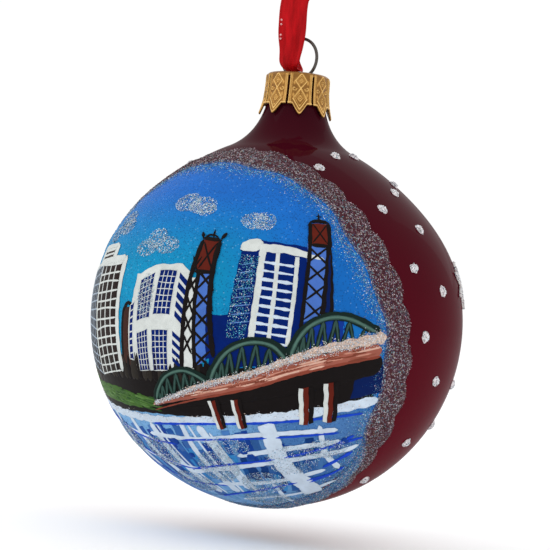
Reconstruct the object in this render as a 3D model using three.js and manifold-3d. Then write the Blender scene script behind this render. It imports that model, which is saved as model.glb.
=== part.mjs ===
// Souvenir tree ornament: a blown-glass ball with a drawn neck, a stamped cap that grips the neck,
// a spring-wire hanger that passes through the cap, a ribbon, and raised glitter paint.
// Millimetres, +Z up. The origin is the hanging point, between the ribbon's strands under the knot.
// The painted picture faces -Y. Longitudes run from -Y towards +X and latitudes up from the equator.
import * as THREE from 'three';
import { mergeVertices } from 'three/addons/utils/BufferGeometryUtils.js';
import Module from 'manifold-3d';

const wasm = await Module();
wasm.setup();

// Driving dimensions: the glass ball
const ballRadius = 40;
const glassWall = 0.8;
const shoulderDip = 1.35; // how far the shoulder lies inside the sphere
const shoulderAngle = 38; // degrees from the axis, where the dip is deepest
const flareAngle = 20; // degrees from the axis, where the shoulder turns up into the neck
const flareHeight = 7.5; // from the top of the sphere to the foot of the straight neck
const flareBelly = 1.4; // how far outside the neck the flare's control point lies
const neckRadius = 6.2;
const neckLength = 5;
const ballSegments = 40;

// Driving dimensions: the cap
const capSheet = 0.35;
const capNeckGap = 0.3;
const capSeatGap = 0.65; // from the neck's mouth to the underside of the cap
const capHeight = 7.1; // from the top to the shoulders of the tabs
const capCorner = 0.9;
const capTabs = 8;
const slitTop = 1; // from the top of the cap to the upper end of the slits
const slitWidth = 0.4;
const toothDrop = 1.9;
const toothShare = 0.6; // the tooth's share of its tab's width
const capTurn = 41.2; // degrees, the longitude of the first tab's middle
const wireSlotWidth = 1.05;

// Driving dimensions: the wire hanger
const wireRadius = 0.32;
const loopRadius = 4.4; // to the middle of the wire
const loopRise = 3.5; // from the top of the cap to the loop's centre
const legLength = 23.5; // below the top of the cap
const legBoreGap = 0.38;
const pinchHalf = 2.62; // half the distance between the legs where they pass the cap

// Driving dimensions: the ribbon
const bightGap = 0.3; // from the top of the cap to the ribbon's underside
const ribbonWidth = 6.35;
const ribbonThickness = 0.5;
const bightWidth = 3.5; // where the ribbon is pinched between the wire's legs
const swingRoom = 2.2; // above the loop's top, clear for the swinging part of the ribbon
const knotRadii = [4.2, 2.6, 2.6];
const knotHeight = 3.4; // the knot's middle above the hanging point
const knotShift = -0.7; // along X, from the hanging point to the knot's middle
const tailGap = 0.6; // from the knot to its tails
const tailWidth = 5.6;

// Driving dimensions: the raised glitter paint
const paintGap = 0.06;
const borderThickness = 0.5;
const borderInner = 67.5; // degrees from the picture's middle
const borderOuter = 77.5;
const borderScallop = 1.3;
const borderScallops = 30;
const pictureDrop = 12; // degrees that the picture's middle lies below the equator
const dotRadius = 1.1;
const dotHeight = 0.75;
const starArm = 10.5;
const starWidth = 1.3;
const starThickness = 0.5;

// The ribbon's route, chosen by hand and measured from the hanging point: down in front of the
// wire loop, through it between the legs, and up behind.
const ribbonRoute = [
  [-0.6, -0.9, 2.2],
  [-1.0, -1.3, 0.6],
  [-1.35, -1.7, -1.5],
  [-1.3, -2.15, -4.0],
  [-1.0, -2.5, -7.0],
  [-0.8, -2.65, -10.0],
  [-0.75, -2.65, -12.5],
  [-0.75, -2.6, -14.5],
  [-0.75, -2.25, -16.0],
  [-0.7, -1.3, -17.05],
  [-0.7, 0, -17.45],
  [-0.8, 1.3, -17.05],
  [-1.2, 2.25, -16.0],
  [-1.9, 2.6, -14.5],
  [-2.8, 2.65, -12.5],
  [-3.5, 2.65, -10.0],
  [-3.9, 2.5, -7.0],
  [-3.6, 2.15, -4.0],
  [-2.6, 1.7, -1.5],
  [-1.4, 1.3, 0.6],
  [-0.8, 0.9, 2.2],
];

const radians = THREE.MathUtils.degToRad;

// Derived places, all measured up from the ball's centre
const mouthHeight = ballRadius + flareHeight + neckLength;
const capTop = mouthHeight + capSeatGap + capSheet;
const capRadius = neckRadius + capNeckGap + capSheet;
const loopHeight = capTop + loopRise;
const legSpread = neckRadius - glassWall - legBoreGap - wireRadius;
const bightDrop = -Math.min(...ribbonRoute.map((point) => point[2])); // below the hanging point
const centreDrop = capTop + bightGap + ribbonThickness / 2 + bightDrop; // to the ball's centre

// Colours and finishes
const finish = {
  glass: new THREE.MeshStandardMaterial({ color: 0x4a0f1c, roughness: 0.45, metalness: 0 }),
  cap: new THREE.MeshStandardMaterial({ color: 0xb08a42, roughness: 0.35, metalness: 0.9 }),
  wire: new THREE.MeshStandardMaterial({ color: 0x4a4744, roughness: 0.4, metalness: 0.9 }),
  ribbon: new THREE.MeshStandardMaterial({ color: 0xb3151c, roughness: 0.55, metalness: 0 }),
  border: new THREE.MeshStandardMaterial({ color: 0x9aa7bf, roughness: 0.4, metalness: 0.4 }),
  snow: new THREE.MeshStandardMaterial({ color: 0xe6e4e6, roughness: 0.6, metalness: 0 }),
};

const ornament = new THREE.Group();
ornament.position.z = -centreDrop;

function addPiece(name, geometry, material) {
  const mesh = new THREE.Mesh(geometry, material);
  mesh.name = name;
  ornament.add(mesh);
  return mesh;
}

// Solids for cutting and joining
function toSolid(geometry) {
  const plain = geometry.clone();
  plain.deleteAttribute('normal');
  plain.deleteAttribute('uv');
  const merged = mergeVertices(plain, 1e-5);
  return new wasm.Manifold(new wasm.Mesh({
    numProp: 3,
    vertProperties: new Float32Array(merged.attributes.position.array),
    triVerts: new Uint32Array(merged.index.array),
  }));
}

function toGeometry(solid) {
  const mesh = solid.getMesh();
  const geometry = new THREE.BufferGeometry();
  geometry.setAttribute('position', new THREE.BufferAttribute(mesh.vertProperties, 3));
  geometry.setIndex(new THREE.BufferAttribute(mesh.triVerts, 1));
  return geometry;
}

// A sheet of cells with a front and a back surface. front(i, j) and back(i, j) give its corners,
// has(i, j) says which cells are there, and the walls follow the edges of the cells that are there.
// Seen from the front, the columns run to the right and the rows run up. columns is the number of
// cells across, closing on itself when ring is true. Corners that meet at one point are merged.
function sheetGeometry(columns, rows, ring, front, back, has) {
  const wide = ring ? columns : columns + 1;
  const places = [];
  for (const side of [front, back]) {
    for (let i = 0; i < wide; i += 1) {
      for (let j = 0; j <= rows; j += 1) {
        places.push(...side(i, j));
      }
    }
  }
  const at = (side, i, j) => side * wide * (rows + 1) + (i % wide) * (rows + 1) + j;
  const there = (i, j) => {
    if (j < 0 || j >= rows) return false;
    if (!ring && (i < 0 || i >= columns)) return false;
    return has((i + columns) % columns, j);
  };
  const faces = [];
  const quad = (a, b, c, d) => faces.push(a, b, c, a, c, d);
  for (let i = 0; i < columns; i += 1) {
    for (let j = 0; j < rows; j += 1) {
      if (!there(i, j)) continue;
      quad(at(0, i, j), at(0, i + 1, j), at(0, i + 1, j + 1), at(0, i, j + 1));
      quad(at(1, i, j + 1), at(1, i + 1, j + 1), at(1, i + 1, j), at(1, i, j));
      if (!there(i, j - 1)) quad(at(1, i, j), at(1, i + 1, j), at(0, i + 1, j), at(0, i, j));
      if (!there(i, j + 1)) {
        quad(at(0, i, j + 1), at(0, i + 1, j + 1), at(1, i + 1, j + 1), at(1, i, j + 1));
      }
      if (!there(i - 1, j)) quad(at(0, i, j), at(0, i, j + 1), at(1, i, j + 1), at(1, i, j));
      if (!there(i + 1, j)) {
        quad(at(1, i + 1, j), at(1, i + 1, j + 1), at(0, i + 1, j + 1), at(0, i + 1, j));
      }
    }
  }
  const geometry = new THREE.BufferGeometry();
  geometry.setAttribute('position', new THREE.Float32BufferAttribute(places, 3));
  geometry.setIndex(faces);
  const merged = mergeVertices(geometry, 1e-6);
  const index = Array.from(merged.index.array);
  const kept = [];
  for (let k = 0; k < index.length; k += 3) {
    const corners = index.slice(k, k + 3);
    if (new Set(corners).size === 3) kept.push(...corners);
  }
  merged.setIndex(kept);
  return merged;
}

// The ball's outer surface: a sphere whose shoulder dips in as a squared cosine of the angle from
// the axis, before the neck rises out of it.
function surfaceRadius(polar) {
  const away = (THREE.MathUtils.radToDeg(polar) - shoulderAngle) / shoulderAngle;
  if (Math.abs(away) >= 1) return ballRadius;
  return ballRadius - shoulderDip * Math.cos(away * Math.PI / 2) ** 2;
}

// A unit vector from a longitude and a latitude in degrees.
function direction(longitude, latitude) {
  const lon = radians(longitude);
  const lat = radians(latitude);
  return new THREE.Vector3(
    Math.sin(lon) * Math.cos(lat),
    -Math.cos(lon) * Math.cos(lat),
    Math.sin(lat),
  );
}

// The point of the ball's surface in a direction, lifted outwards.
function onBall(unit, lift) {
  const polar = Math.acos(THREE.MathUtils.clamp(unit.z, -1, 1));
  return unit.clone().multiplyScalar(surfaceRadius(polar) + lift);
}

// The flare: the shoulder turns up into the straight neck along one quadratic curve.
const flareFoot = new THREE.Vector2(
  surfaceRadius(radians(flareAngle)) * Math.sin(radians(flareAngle)),
  surfaceRadius(radians(flareAngle)) * Math.cos(radians(flareAngle)),
);
const flare = new THREE.QuadraticBezierCurve(
  flareFoot,
  new THREE.Vector2(neckRadius + flareBelly, ballRadius),
  new THREE.Vector2(neckRadius, ballRadius + flareHeight),
);

// The neck's outside radius at a height above the ball's centre.
function neckAcross(height) {
  const samples = flare.getPoints(200);
  const above = samples.find((point) => point.y >= height);
  return above ? above.x : neckRadius;
}

// Glass ball: one shell, from the bottom up the outside to the mouth and back down the inside.
function glassBall() {
  const bodyRows = 16;
  const flareRows = 5;
  const outer = [];
  for (let k = 0; k <= bodyRows; k += 1) {
    const polar = Math.PI - (Math.PI - radians(flareAngle)) * k / bodyRows;
    const r = surfaceRadius(polar);
    outer.push(new THREE.Vector2(k === 0 ? 0 : r * Math.sin(polar), r * Math.cos(polar)));
  }
  outer.push(...flare.getPoints(flareRows).slice(1));
  outer.push(new THREE.Vector2(neckRadius, mouthHeight));
  const inner = outer.map((p, k) => {
    if (k === 0) return new THREE.Vector2(0, p.y + glassWall);
    if (k === outer.length - 1) return new THREE.Vector2(p.x - glassWall, p.y);
    const along = outer[k + 1].clone().sub(outer[k - 1]).normalize();
    return new THREE.Vector2(p.x - glassWall * along.y, p.y + glassWall * along.x);
  });
  const geometry = new THREE.LatheGeometry([...outer, ...inner.reverse()], ballSegments);
  return geometry.rotateX(Math.PI / 2);
}

// Stamped cap: a sheet from the middle of the top, over a rounded edge and down into eight tabs.
// Each tab leans out as the cube of its depth, so that its tooth clears the neck's flare, and the
// tooth stands between two shoulders.
const toothDepth = capHeight + toothDrop;
const toothRadius = neckAcross(capTop - toothDepth) + capNeckGap + capSheet;

function capAcross(depth) {
  return capRadius + (toothRadius - capRadius) * (depth / toothDepth) ** 3;
}

function stampedCap() {
  const tabColumns = 10;
  const topRows = [0, 0.5];
  const cornerRows = 3;
  const wallRows = 1;
  const tabRows = 3;
  const columns = capTabs * (tabColumns + 1);
  const crownRows = topRows.length + cornerRows + wallRows;
  const rows = crownRows + tabRows;
  const tabAngle = 2 * Math.PI / capTabs;
  const halfTab = tabAngle / 2 - slitWidth / 2 / capRadius;
  const turned = (i) => {
    const tab = Math.floor(i / (tabColumns + 1));
    const step = i % (tabColumns + 1);
    const local = (2 * step / tabColumns - 1) * halfTab;
    return { local, angle: radians(capTurn) + tab * tabAngle + local };
  };
  const hem = (local) => {
    const share = Math.abs(local) / (halfTab * toothShare);
    return capHeight + (share < 1 ? toothDrop * (1 - share ** 1.3) : 0);
  };
  // Radius, height above the ball's centre, and the outward normal, at row j of a column.
  const place = (local, j) => {
    if (j < topRows.length) return [capRadius * topRows[j], capTop, 0, 1];
    const middle = capRadius - capCorner;
    if (j < topRows.length + cornerRows) {
      const a = Math.PI / 2 * (j - topRows.length) / (cornerRows - 1);
      return [
        middle + capCorner * Math.sin(a),
        capTop - capCorner * (1 - Math.cos(a)),
        Math.sin(a),
        Math.cos(a),
      ];
    }
    const from = Math.max(slitTop, capCorner + 0.05);
    const down = Math.max(0, j - crownRows + 1) / (rows - crownRows + 1);
    const depth = from + down * (hem(local) - from);
    return [capAcross(depth), capTop - depth, 1, 0];
  };
  const surface = (inset) => (i, j) => {
    const { local, angle } = turned(i);
    const [r, z, nr, nz] = place(local, j);
    const across = r - inset * nr;
    return [across * Math.sin(angle), -across * Math.cos(angle), z - inset * nz];
  };
  const isSlit = (i) => i % (tabColumns + 1) === tabColumns;
  const has = (i, j) => j < crownRows - 1 || !isSlit(i);
  let solid = toSolid(sheetGeometry(columns, rows, true, surface(capSheet), surface(0), has));
  const slotInner = pinchHalf - wireRadius - 0.4;
  const slotOuter = legSpread + wireRadius + 0.15;
  for (const side of [-1, 1]) {
    const cutter = new THREE.BoxGeometry(slotOuter - slotInner, wireSlotWidth, 4 * capSheet);
    cutter.translate(side * (slotInner + slotOuter) / 2, 0, capTop - capSheet / 2);
    solid = solid.subtract(toSolid(cutter));
  }
  return toGeometry(solid);
}

// Wire hanger: a round loop whose ends bend back and run down into the neck as two spring legs.
function hangerWire() {
  const points = [];
  const leg = [
    [legSpread - 0.55, capTop - legLength],
    [legSpread - 0.15, capTop - legLength + 2.6],
    [legSpread, capTop - legLength + 8],
    [legSpread, capTop - 10],
    [legSpread - 0.4, capTop - 6.5],
    [pinchHalf + 0.5, capTop - 3],
    [pinchHalf, capTop - 1.1],
    [pinchHalf + 0.03, capTop - 0.1],
  ];
  for (const [x, z] of leg) points.push(new THREE.Vector3(-x, 0, z));
  const foot = radians(50);
  const steps = 20;
  for (let k = 0; k <= steps; k += 1) {
    const a = foot + (2 * Math.PI - 2 * foot) * k / steps;
    points.push(new THREE.Vector3(
      -loopRadius * Math.sin(a),
      0,
      loopHeight - loopRadius * Math.cos(a),
    ));
  }
  for (const [x, z] of [...leg].reverse()) points.push(new THREE.Vector3(x, 0, z));
  const path = new THREE.CatmullRomCurve3(points, false, 'centripetal');
  const section = new THREE.Shape().absarc(0, 0, wireRadius, 0, 2 * Math.PI);
  return new THREE.ExtrudeGeometry(section, { steps: 72, curveSegments: 5, extrudePath: path });
}

// A flat strap of ribbon along a curve, from one share of its length to another. Its width lies as
// nearly along the given axis as the curve allows, and widthAt gives it by the share of the way.
function strap(path, from, to, steps, axis, widthAt) {
  const side = (offset) => (i, j) => {
    const share = from + (to - from) * i / steps;
    const centre = path.getPointAt(share);
    const along = path.getTangentAt(share);
    const across = axis.clone().addScaledVector(along, -axis.dot(along)).normalize();
    const up = new THREE.Vector3().crossVectors(along, across);
    centre.addScaledVector(across, (j - 0.5) * widthAt(share));
    centre.addScaledVector(up, offset * ribbonThickness);
    return [centre.x, centre.y, centre.z];
  };
  return sheetGeometry(steps, 1, false, side(0.5), side(-0.5), () => true);
}

function addRibbon() {
  const path = new THREE.CatmullRomCurve3(
    ribbonRoute.map(([x, y, z]) => new THREE.Vector3(x, y, z + centreDrop)),
    false,
    'centripetal',
  );
  const loopTop = loopHeight + loopRadius;
  // The shares of the length at which the ribbon passes a height, on its way down and up.
  const shareAt = (height, rising) => {
    const samples = 400;
    for (let k = 0; k <= samples; k += 1) {
      const share = rising ? 1 - k / samples : k / samples;
      if (path.getPointAt(share).z <= height) return share;
    }
    return 0.5;
  };
  const widthAt = (share) => {
    const spread = THREE.MathUtils.smoothstep(Math.abs(share - 0.5), 0.02, 0.18);
    return bightWidth + (ribbonWidth - bightWidth) * spread;
  };
  const knotEdge = centreDrop + 0.5;
  const upperEnd = loopTop + swingRoom;
  const lowerEnd = loopTop - 0.6;
  const crosswise = new THREE.Vector3(1, 0, 0);
  const stretches = [
    ['ribbon_front', shareAt(knotEdge, false), shareAt(upperEnd, false), 6],
    ['ribbon_bight', shareAt(lowerEnd, false), shareAt(lowerEnd, true), 20],
    ['ribbon_back', shareAt(upperEnd, true), shareAt(knotEdge, true), 6],
  ];
  for (const [name, from, to, steps] of stretches) {
    addPiece(name, strap(path, from, to, steps, crosswise, widthAt), finish.ribbon);
  }

  const knot = new THREE.SphereGeometry(1, 14, 8);
  knot.scale(...knotRadii);
  const knotMiddle = new THREE.Vector3(knotShift, 0, centreDrop + knotHeight);
  knot.translate(...knotMiddle);
  addPiece('ribbon_knot', knot, finish.ribbon);

  const lengthwise = new THREE.Vector3(0, 1, 0);
  for (const [name, side] of [['ribbon_tail_left', -1], ['ribbon_tail_right', 1]]) {
    const reach = knotRadii[0] + tailGap;
    const tail = new THREE.CatmullRomCurve3([
      new THREE.Vector3(side * reach, side * 0.3, 0.6).add(knotMiddle),
      new THREE.Vector3(side * (reach + 2.4), side * 0.9, 2.2).add(knotMiddle),
      new THREE.Vector3(side * (reach + 4.2), side * 1.2, 4.6).add(knotMiddle),
    ]);
    addPiece(name, strap(tail, 0, 1, 6, lengthwise, () => tailWidth), finish.ribbon);
  }
}

// Glitter border: a scalloped ring on the ball around the picture.
function glitterBorder() {
  const around = borderScallops * 4;
  const acrossStep = radians((borderOuter - borderInner) / 2 + borderScallop);
  const sag = ballRadius * (1 - Math.cos(acrossStep / 2)); // of the ring's flat facets
  const middle = direction(0, -pictureDrop);
  const right = direction(90, 0);
  const up = direction(0, 90 - pictureDrop);
  const place = (lift) => (i, j) => {
    const turn = 2 * Math.PI * i / around;
    const wave = borderScallop * Math.abs(Math.sin(turn * borderScallops / 2));
    const angle = radians(j === 0 ? borderInner - wave * 0.6 : borderOuter + wave);
    const unit = middle.clone().multiplyScalar(Math.cos(angle));
    unit.addScaledVector(right, Math.sin(angle) * Math.cos(turn));
    unit.addScaledVector(up, Math.sin(angle) * Math.sin(turn));
    if (j === 1) {
      const half = radians((borderInner + borderOuter) / 2);
      unit.copy(middle).multiplyScalar(Math.cos(half));
      unit.addScaledVector(right, Math.sin(half) * Math.cos(turn));
      unit.addScaledVector(up, Math.sin(half) * Math.sin(turn));
    }
    const point = onBall(unit, lift);
    return [point.x, point.y, point.z];
  };
  const under = place(paintGap + sag);
  return sheetGeometry(around, 2, true, under, place(paintGap + sag + borderThickness), () => true);
}

// Snow dots: small domes of raised paint, each with its flat underside just clear of the glass.
// Longitude and latitude, in degrees, on the right; the left side mirrors them.
const sideDots = [
  [69, 65],
  [51, 56],
  [95, 67],
  [94, 48],
  [108, 53],
  [75, 39],
  [92, 33],
  [80, 19],
  [94, 13],
  [84, -1],
  [95, -14],
  [118, -15],
  [118, -29],
  [97, -35],
  [94, -52],
];
const backDots = [
  [152, 44],
  [-150, 30],
  [148, 8],
  [-146, -8],
  [154, -30],
  [-158, -42],
  [180, 62],
  [178, -66],
];

function snowDot([longitude, latitude]) {
  const rows = 2;
  const profile = [new THREE.Vector2(0, 0), new THREE.Vector2(dotRadius, 0)];
  for (let k = 1; k < rows; k += 1) {
    const a = Math.PI / 2 * k / rows;
    profile.push(new THREE.Vector2(dotRadius * Math.cos(a), dotHeight * Math.sin(a)));
  }
  profile.push(new THREE.Vector2(0, dotHeight));
  const dome = new THREE.LatheGeometry(profile, 8);
  const unit = direction(longitude, latitude);
  dome.applyQuaternion(new THREE.Quaternion().setFromUnitVectors(new THREE.Vector3(0, 1, 0), unit));
  const centre = onBall(unit, paintGap);
  dome.translate(centre.x, centre.y, centre.z);
  return dome;
}

// Stars: six raised arms crossing at one point of the ball, each arm a strap that follows the glass.
const stars = [
  ['star_right', 117, 16],
  ['star_back', 180, 10],
  ['star_left', -117, 16],
];

function starStroke(centre, right, up, turn) {
  const steps = 12;
  const reach = starArm / ballRadius;
  const sideways = new THREE.Vector3();
  const place = (lift) => (i, j) => {
    const angle = reach * (2 * i / steps - 1);
    const along = right.clone().multiplyScalar(Math.cos(turn)).addScaledVector(up, Math.sin(turn));
    sideways.crossVectors(centre, along);
    const unit = centre.clone().multiplyScalar(Math.cos(angle));
    unit.addScaledVector(along, Math.sin(angle));
    unit.addScaledVector(sideways, (j - 0.5) * starWidth / ballRadius).normalize();
    const point = onBall(unit, lift);
    return [point.x, point.y, point.z];
  };
  const lifted = place(paintGap + starThickness);
  return sheetGeometry(steps, 1, false, lifted, place(paintGap), () => true);
}

function raisedStar(longitude, latitude) {
  const centre = direction(longitude, latitude);
  const right = direction(longitude + 90, 0);
  const up = direction(longitude, latitude + 90);
  let solid = null;
  for (let k = 0; k < 3; k += 1) {
    const stroke = toSolid(starStroke(centre, right, up, Math.PI / 2 + k * Math.PI / 3));
    solid = solid ? solid.add(stroke) : stroke;
  }
  return toGeometry(solid);
}

addPiece('glass_ball', glassBall(), finish.glass);
addPiece('cap', stampedCap(), finish.cap);
addPiece('hanger_wire', hangerWire(), finish.wire);
addRibbon();
addPiece('glitter_border', glitterBorder(), finish.border);
const dots = [...sideDots, ...sideDots.map(([lon, lat]) => [-lon, lat]), ...backDots];
dots.forEach((place, k) => {
  addPiece(`snow_dot_${String(k + 1).padStart(2, '0')}`, snowDot(place), finish.snow);
});
for (const [name, longitude, latitude] of stars) {
  addPiece(name, raisedStar(longitude, latitude), finish.snow);
}

export default ornament;
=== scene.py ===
import math

import bpy
import numpy as np
from mathutils import Matrix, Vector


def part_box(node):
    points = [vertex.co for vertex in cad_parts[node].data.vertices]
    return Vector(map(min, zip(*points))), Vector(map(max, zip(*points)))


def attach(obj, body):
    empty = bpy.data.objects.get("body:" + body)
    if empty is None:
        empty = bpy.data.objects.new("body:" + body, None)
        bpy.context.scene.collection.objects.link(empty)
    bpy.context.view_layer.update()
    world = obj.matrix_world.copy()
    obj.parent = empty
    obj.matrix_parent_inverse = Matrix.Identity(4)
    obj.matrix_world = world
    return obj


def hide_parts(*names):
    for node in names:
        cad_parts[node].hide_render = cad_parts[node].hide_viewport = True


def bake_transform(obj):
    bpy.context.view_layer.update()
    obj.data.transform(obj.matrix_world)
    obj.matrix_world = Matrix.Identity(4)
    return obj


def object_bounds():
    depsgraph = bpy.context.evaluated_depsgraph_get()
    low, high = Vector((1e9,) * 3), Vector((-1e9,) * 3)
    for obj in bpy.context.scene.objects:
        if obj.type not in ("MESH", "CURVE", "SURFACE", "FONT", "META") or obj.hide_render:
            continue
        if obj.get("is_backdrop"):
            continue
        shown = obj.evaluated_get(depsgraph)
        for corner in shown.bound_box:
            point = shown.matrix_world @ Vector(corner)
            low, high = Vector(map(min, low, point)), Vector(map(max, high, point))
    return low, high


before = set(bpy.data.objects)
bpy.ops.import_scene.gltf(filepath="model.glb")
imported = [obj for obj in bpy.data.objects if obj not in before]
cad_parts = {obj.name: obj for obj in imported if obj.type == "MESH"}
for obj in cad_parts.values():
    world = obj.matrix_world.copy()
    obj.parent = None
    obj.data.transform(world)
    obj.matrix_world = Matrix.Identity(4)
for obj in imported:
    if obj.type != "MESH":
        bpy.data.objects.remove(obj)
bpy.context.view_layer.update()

# A painted glass tree ball on a ribbon. Lengths in this file are millimetres until make_piece,
# which writes metres. Longitude 0 is the middle of the painted view, on the -Y side, and grows
# towards +X. Latitude grows upwards.
MM = 0.001
draws = np.random.default_rng(1224)

VIEW_TURN, VIEW_ROLL = math.radians(35), math.radians(5)
VIEW_DISTANCE, VIEW_WIDTH = 420.0, 119.0
BALL_RADIUS = 40.0
SHOULDER_DIP = 1.35
SHOULDER_ANGLE = 38.0
GLASS_WALL = 0.8
BALL_CENTRE = np.array([0.0, 0.0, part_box("glass_ball")[0].z / MM + BALL_RADIUS])
PICTURE_LON, PICTURE_LAT = 0.0, -12.0
PICTURE_EDGE = 67.5
FLOOR_GAP = 7.0


def paint(red, green, blue):
    """A colour named as 0 to 255 display values, as the linear colour that the nodes work in."""
    shares = np.array([red, green, blue]) / 255
    linear = np.where(shares <= 0.04045, shares / 12.92, ((shares + 0.055) / 1.055) ** 2.4)
    return (*linear.tolist(), 1.0)


def paints(*shades):
    """Several colours."""
    return [paint(*shade) for shade in shades]


# --- the camera and the lights -------------------------------------------------------------------


def unit(vector):
    """A vector, or each row of an array of them, divided by its length."""
    vector = np.asarray(vector, float)
    return vector / np.maximum(np.linalg.norm(vector, axis=-1, keepdims=True), 1e-12)


def facing(eye, target, across):
    """The matrix of an object at eye that looks at target, with its own X as near to across as can be."""
    back = unit(np.asarray(eye) - np.asarray(target))
    side = unit(np.asarray(across) - back * np.dot(across, back))
    up = np.cross(back, side)
    turned = np.eye(4)
    turned[:3, 0], turned[:3, 1], turned[:3, 2], turned[:3, 3] = side, up, back, eye
    return Matrix(turned.tolist())


def place_camera():
    """The camera stands 35 degrees round from the painted view, level with the ball's middle, and is
    rolled 5 degrees. It takes in 119 mm across at the ball."""
    away = np.array([math.sin(VIEW_TURN), -math.cos(VIEW_TURN), 0])
    right = np.array([math.cos(VIEW_TURN), math.sin(VIEW_TURN), 0])
    up = np.array([0.0, 0.0, 1.0])
    eye = BALL_CENTRE + away * VIEW_DISTANCE
    target = BALL_CENTRE - right * 1.3 + up * 9.8
    data = bpy.data.cameras.new("camera")
    data.sensor_width = 36
    data.lens = data.sensor_width * VIEW_DISTANCE / VIEW_WIDTH
    data.clip_start, data.clip_end = 0.01, 20
    camera = bpy.data.objects.new("camera", data)
    bpy.context.scene.collection.objects.link(camera)
    across = right * math.cos(VIEW_ROLL) + up * math.sin(VIEW_ROLL)
    camera.matrix_world = facing(eye * MM, target * MM, across)
    bpy.context.scene.camera = camera


def place_light(name, place, size, power):
    """A square soft white light at a place given from the ball's middle, turned towards the ball."""
    data = bpy.data.lights.new(name, "AREA")
    data.shape = "SQUARE"
    data.size = size
    data.energy = power
    light = bpy.data.objects.new(name, data)
    bpy.context.scene.collection.objects.link(light)
    eye = BALL_CENTRE * MM + np.array(place)
    light.matrix_world = facing(eye, BALL_CENTRE * MM, (0.8, 0.6, 0.05))


place_camera()
bpy.context.scene.view_settings.view_transform = "Standard"
world = bpy.data.worlds.new("studio")
world.use_nodes = True
backdrop = world.node_tree.nodes["Background"]
backdrop.inputs["Color"].default_value = (1.0, 1.0, 1.0, 1.0)
backdrop.inputs["Strength"].default_value = 1.02
bpy.context.scene.world = world
place_light("light_left", (-0.55, -0.75, 0.55), 0.7, 1.4)
place_light("light_right", (1.0, -0.1, 0.35), 0.8, 0.4)
place_light("light_behind", (-0.2, 0.9, 0.6), 0.8, 0.8)


# --- node helpers and shared node groups ---------------------------------------------------------


def add(tree, kind, inputs=None, **settings):
    """A new node of a kind, with its settings, and its inputs set to values or linked to sockets."""
    node = tree.nodes.new(kind)
    for name, value in settings.items():
        setattr(node, name, value)
    for name, value in (inputs or {}).items():
        if isinstance(value, bpy.types.NodeSocket):
            tree.links.new(value, node.inputs[name])
        else:
            node.inputs[name].default_value = value
    return node


def calc(tree, operation, first, second=0.0):
    """The result socket of a Math node."""
    return add(tree, "ShaderNodeMath", {0: first, 1: second}, operation=operation).outputs[0]


def remap(tree, value, low, high, to_low=0.0, to_high=1.0):
    """The result socket of a Map Range node, held between its ends."""
    inputs = {"Value": value, "From Min": low, "From Max": high, "To Min": to_low, "To Max": to_high}
    return add(tree, "ShaderNodeMapRange", inputs).outputs[0]


def blended(tree, share, first, second, way="MIX"):
    """The colour socket of a Mix node."""
    settings = {"data_type": "RGBA", "blend_type": way}
    return add(tree, "ShaderNodeMix", {0: share, 6: first, 7: second}, **settings).outputs[2]


def noise(tree, where, scale, detail=3.0, rough=0.55):
    """The value socket of a Noise Texture."""
    inputs = {"Vector": where, "Scale": scale, "Detail": detail, "Roughness": rough}
    return add(tree, "ShaderNodeTexNoise", inputs).outputs[0]


def new_group(name, inputs, outputs):
    """A shader node group with named inputs, given as name: (kind, default), and named outputs."""
    tree = bpy.data.node_groups.new(name, "ShaderNodeTree")
    for label, (kind, default) in inputs.items():
        socket = tree.interface.new_socket(label, in_out="INPUT", socket_type="NodeSocket" + kind)
        socket.default_value = default
    for label, kind in outputs.items():
        tree.interface.new_socket(label, in_out="OUTPUT", socket_type="NodeSocket" + kind)
    entry = tree.nodes.new("NodeGroupInput")
    leave = tree.nodes.new("NodeGroupOutput")
    return tree, entry.outputs, leave


def use_group(tree, group, inputs):
    """The output sockets of a group placed in a material, with its own values."""
    return add(tree, "ShaderNodeGroup", inputs, node_tree=group).outputs


def own_place(tree):
    """The socket of a piece's own coordinates."""
    return add(tree, "ShaderNodeTexCoord").outputs["Object"]


def shaded(tree, colour, light):
    """A colour multiplied by a number that changes over the surface."""
    inputs = {0: colour, "Scale": light}
    return add(tree, "ShaderNodeVectorMath", inputs, operation="SCALE").outputs[0]


def set_stops(ramp, shades):
    """Gives a Color Ramp its (place, colour) pairs."""
    stops = ramp.color_ramp.elements
    stops[0].position, stops[0].color = shades[0]
    stops[1].position, stops[1].color = shades[-1]
    for place, shade in shades[1:-1]:
        stops.new(place).color = shade


def make_brushwork():
    """Brush-laid colour: wide blotches, fine streaks along the brush and small bare specks."""
    tree, given, leave = new_group(
        "brushwork",
        {
            "Tint": ("Color", (0.5, 0.5, 0.5, 1.0)),
            "Blotch": ("Float", 0.2),
            "Streak": ("Float", 0.2),
            "Scale": ("Float", 500.0),
            "Shine": ("Float", 0.45),
        },
        {"Colour": "Color", "Roughness": "Float", "Height": "Float"},
    )
    where = own_place(tree)
    turn = {"Vector": where, "Rotation": (0.5, 0.9, 0.3), "Scale": (1.0, 0.22, 1.0)}
    along = add(tree, "ShaderNodeMapping", turn).outputs[0]
    blotch = noise(tree, where, calc(tree, "MULTIPLY", given["Scale"], 0.22), 4.0)
    streak = noise(tree, along, given["Scale"], 3.0, 0.65)
    wide = calc(tree, "MULTIPLY", calc(tree, "SUBTRACT", blotch, 0.5), given["Blotch"])
    fine = calc(tree, "MULTIPLY", calc(tree, "SUBTRACT", streak, 0.5), given["Streak"])
    light = calc(tree, "ADD", calc(tree, "MULTIPLY", calc(tree, "ADD", wide, fine), 2.0), 1.0)
    tree.links.new(shaded(tree, given["Tint"], light), leave.inputs["Colour"])
    rough = calc(tree, "ADD", given["Shine"], calc(tree, "MULTIPLY", fine, 0.6))
    tree.links.new(rough, leave.inputs["Roughness"])
    tree.links.new(calc(tree, "ADD", streak, blotch), leave.inputs["Height"])
    return tree


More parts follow.
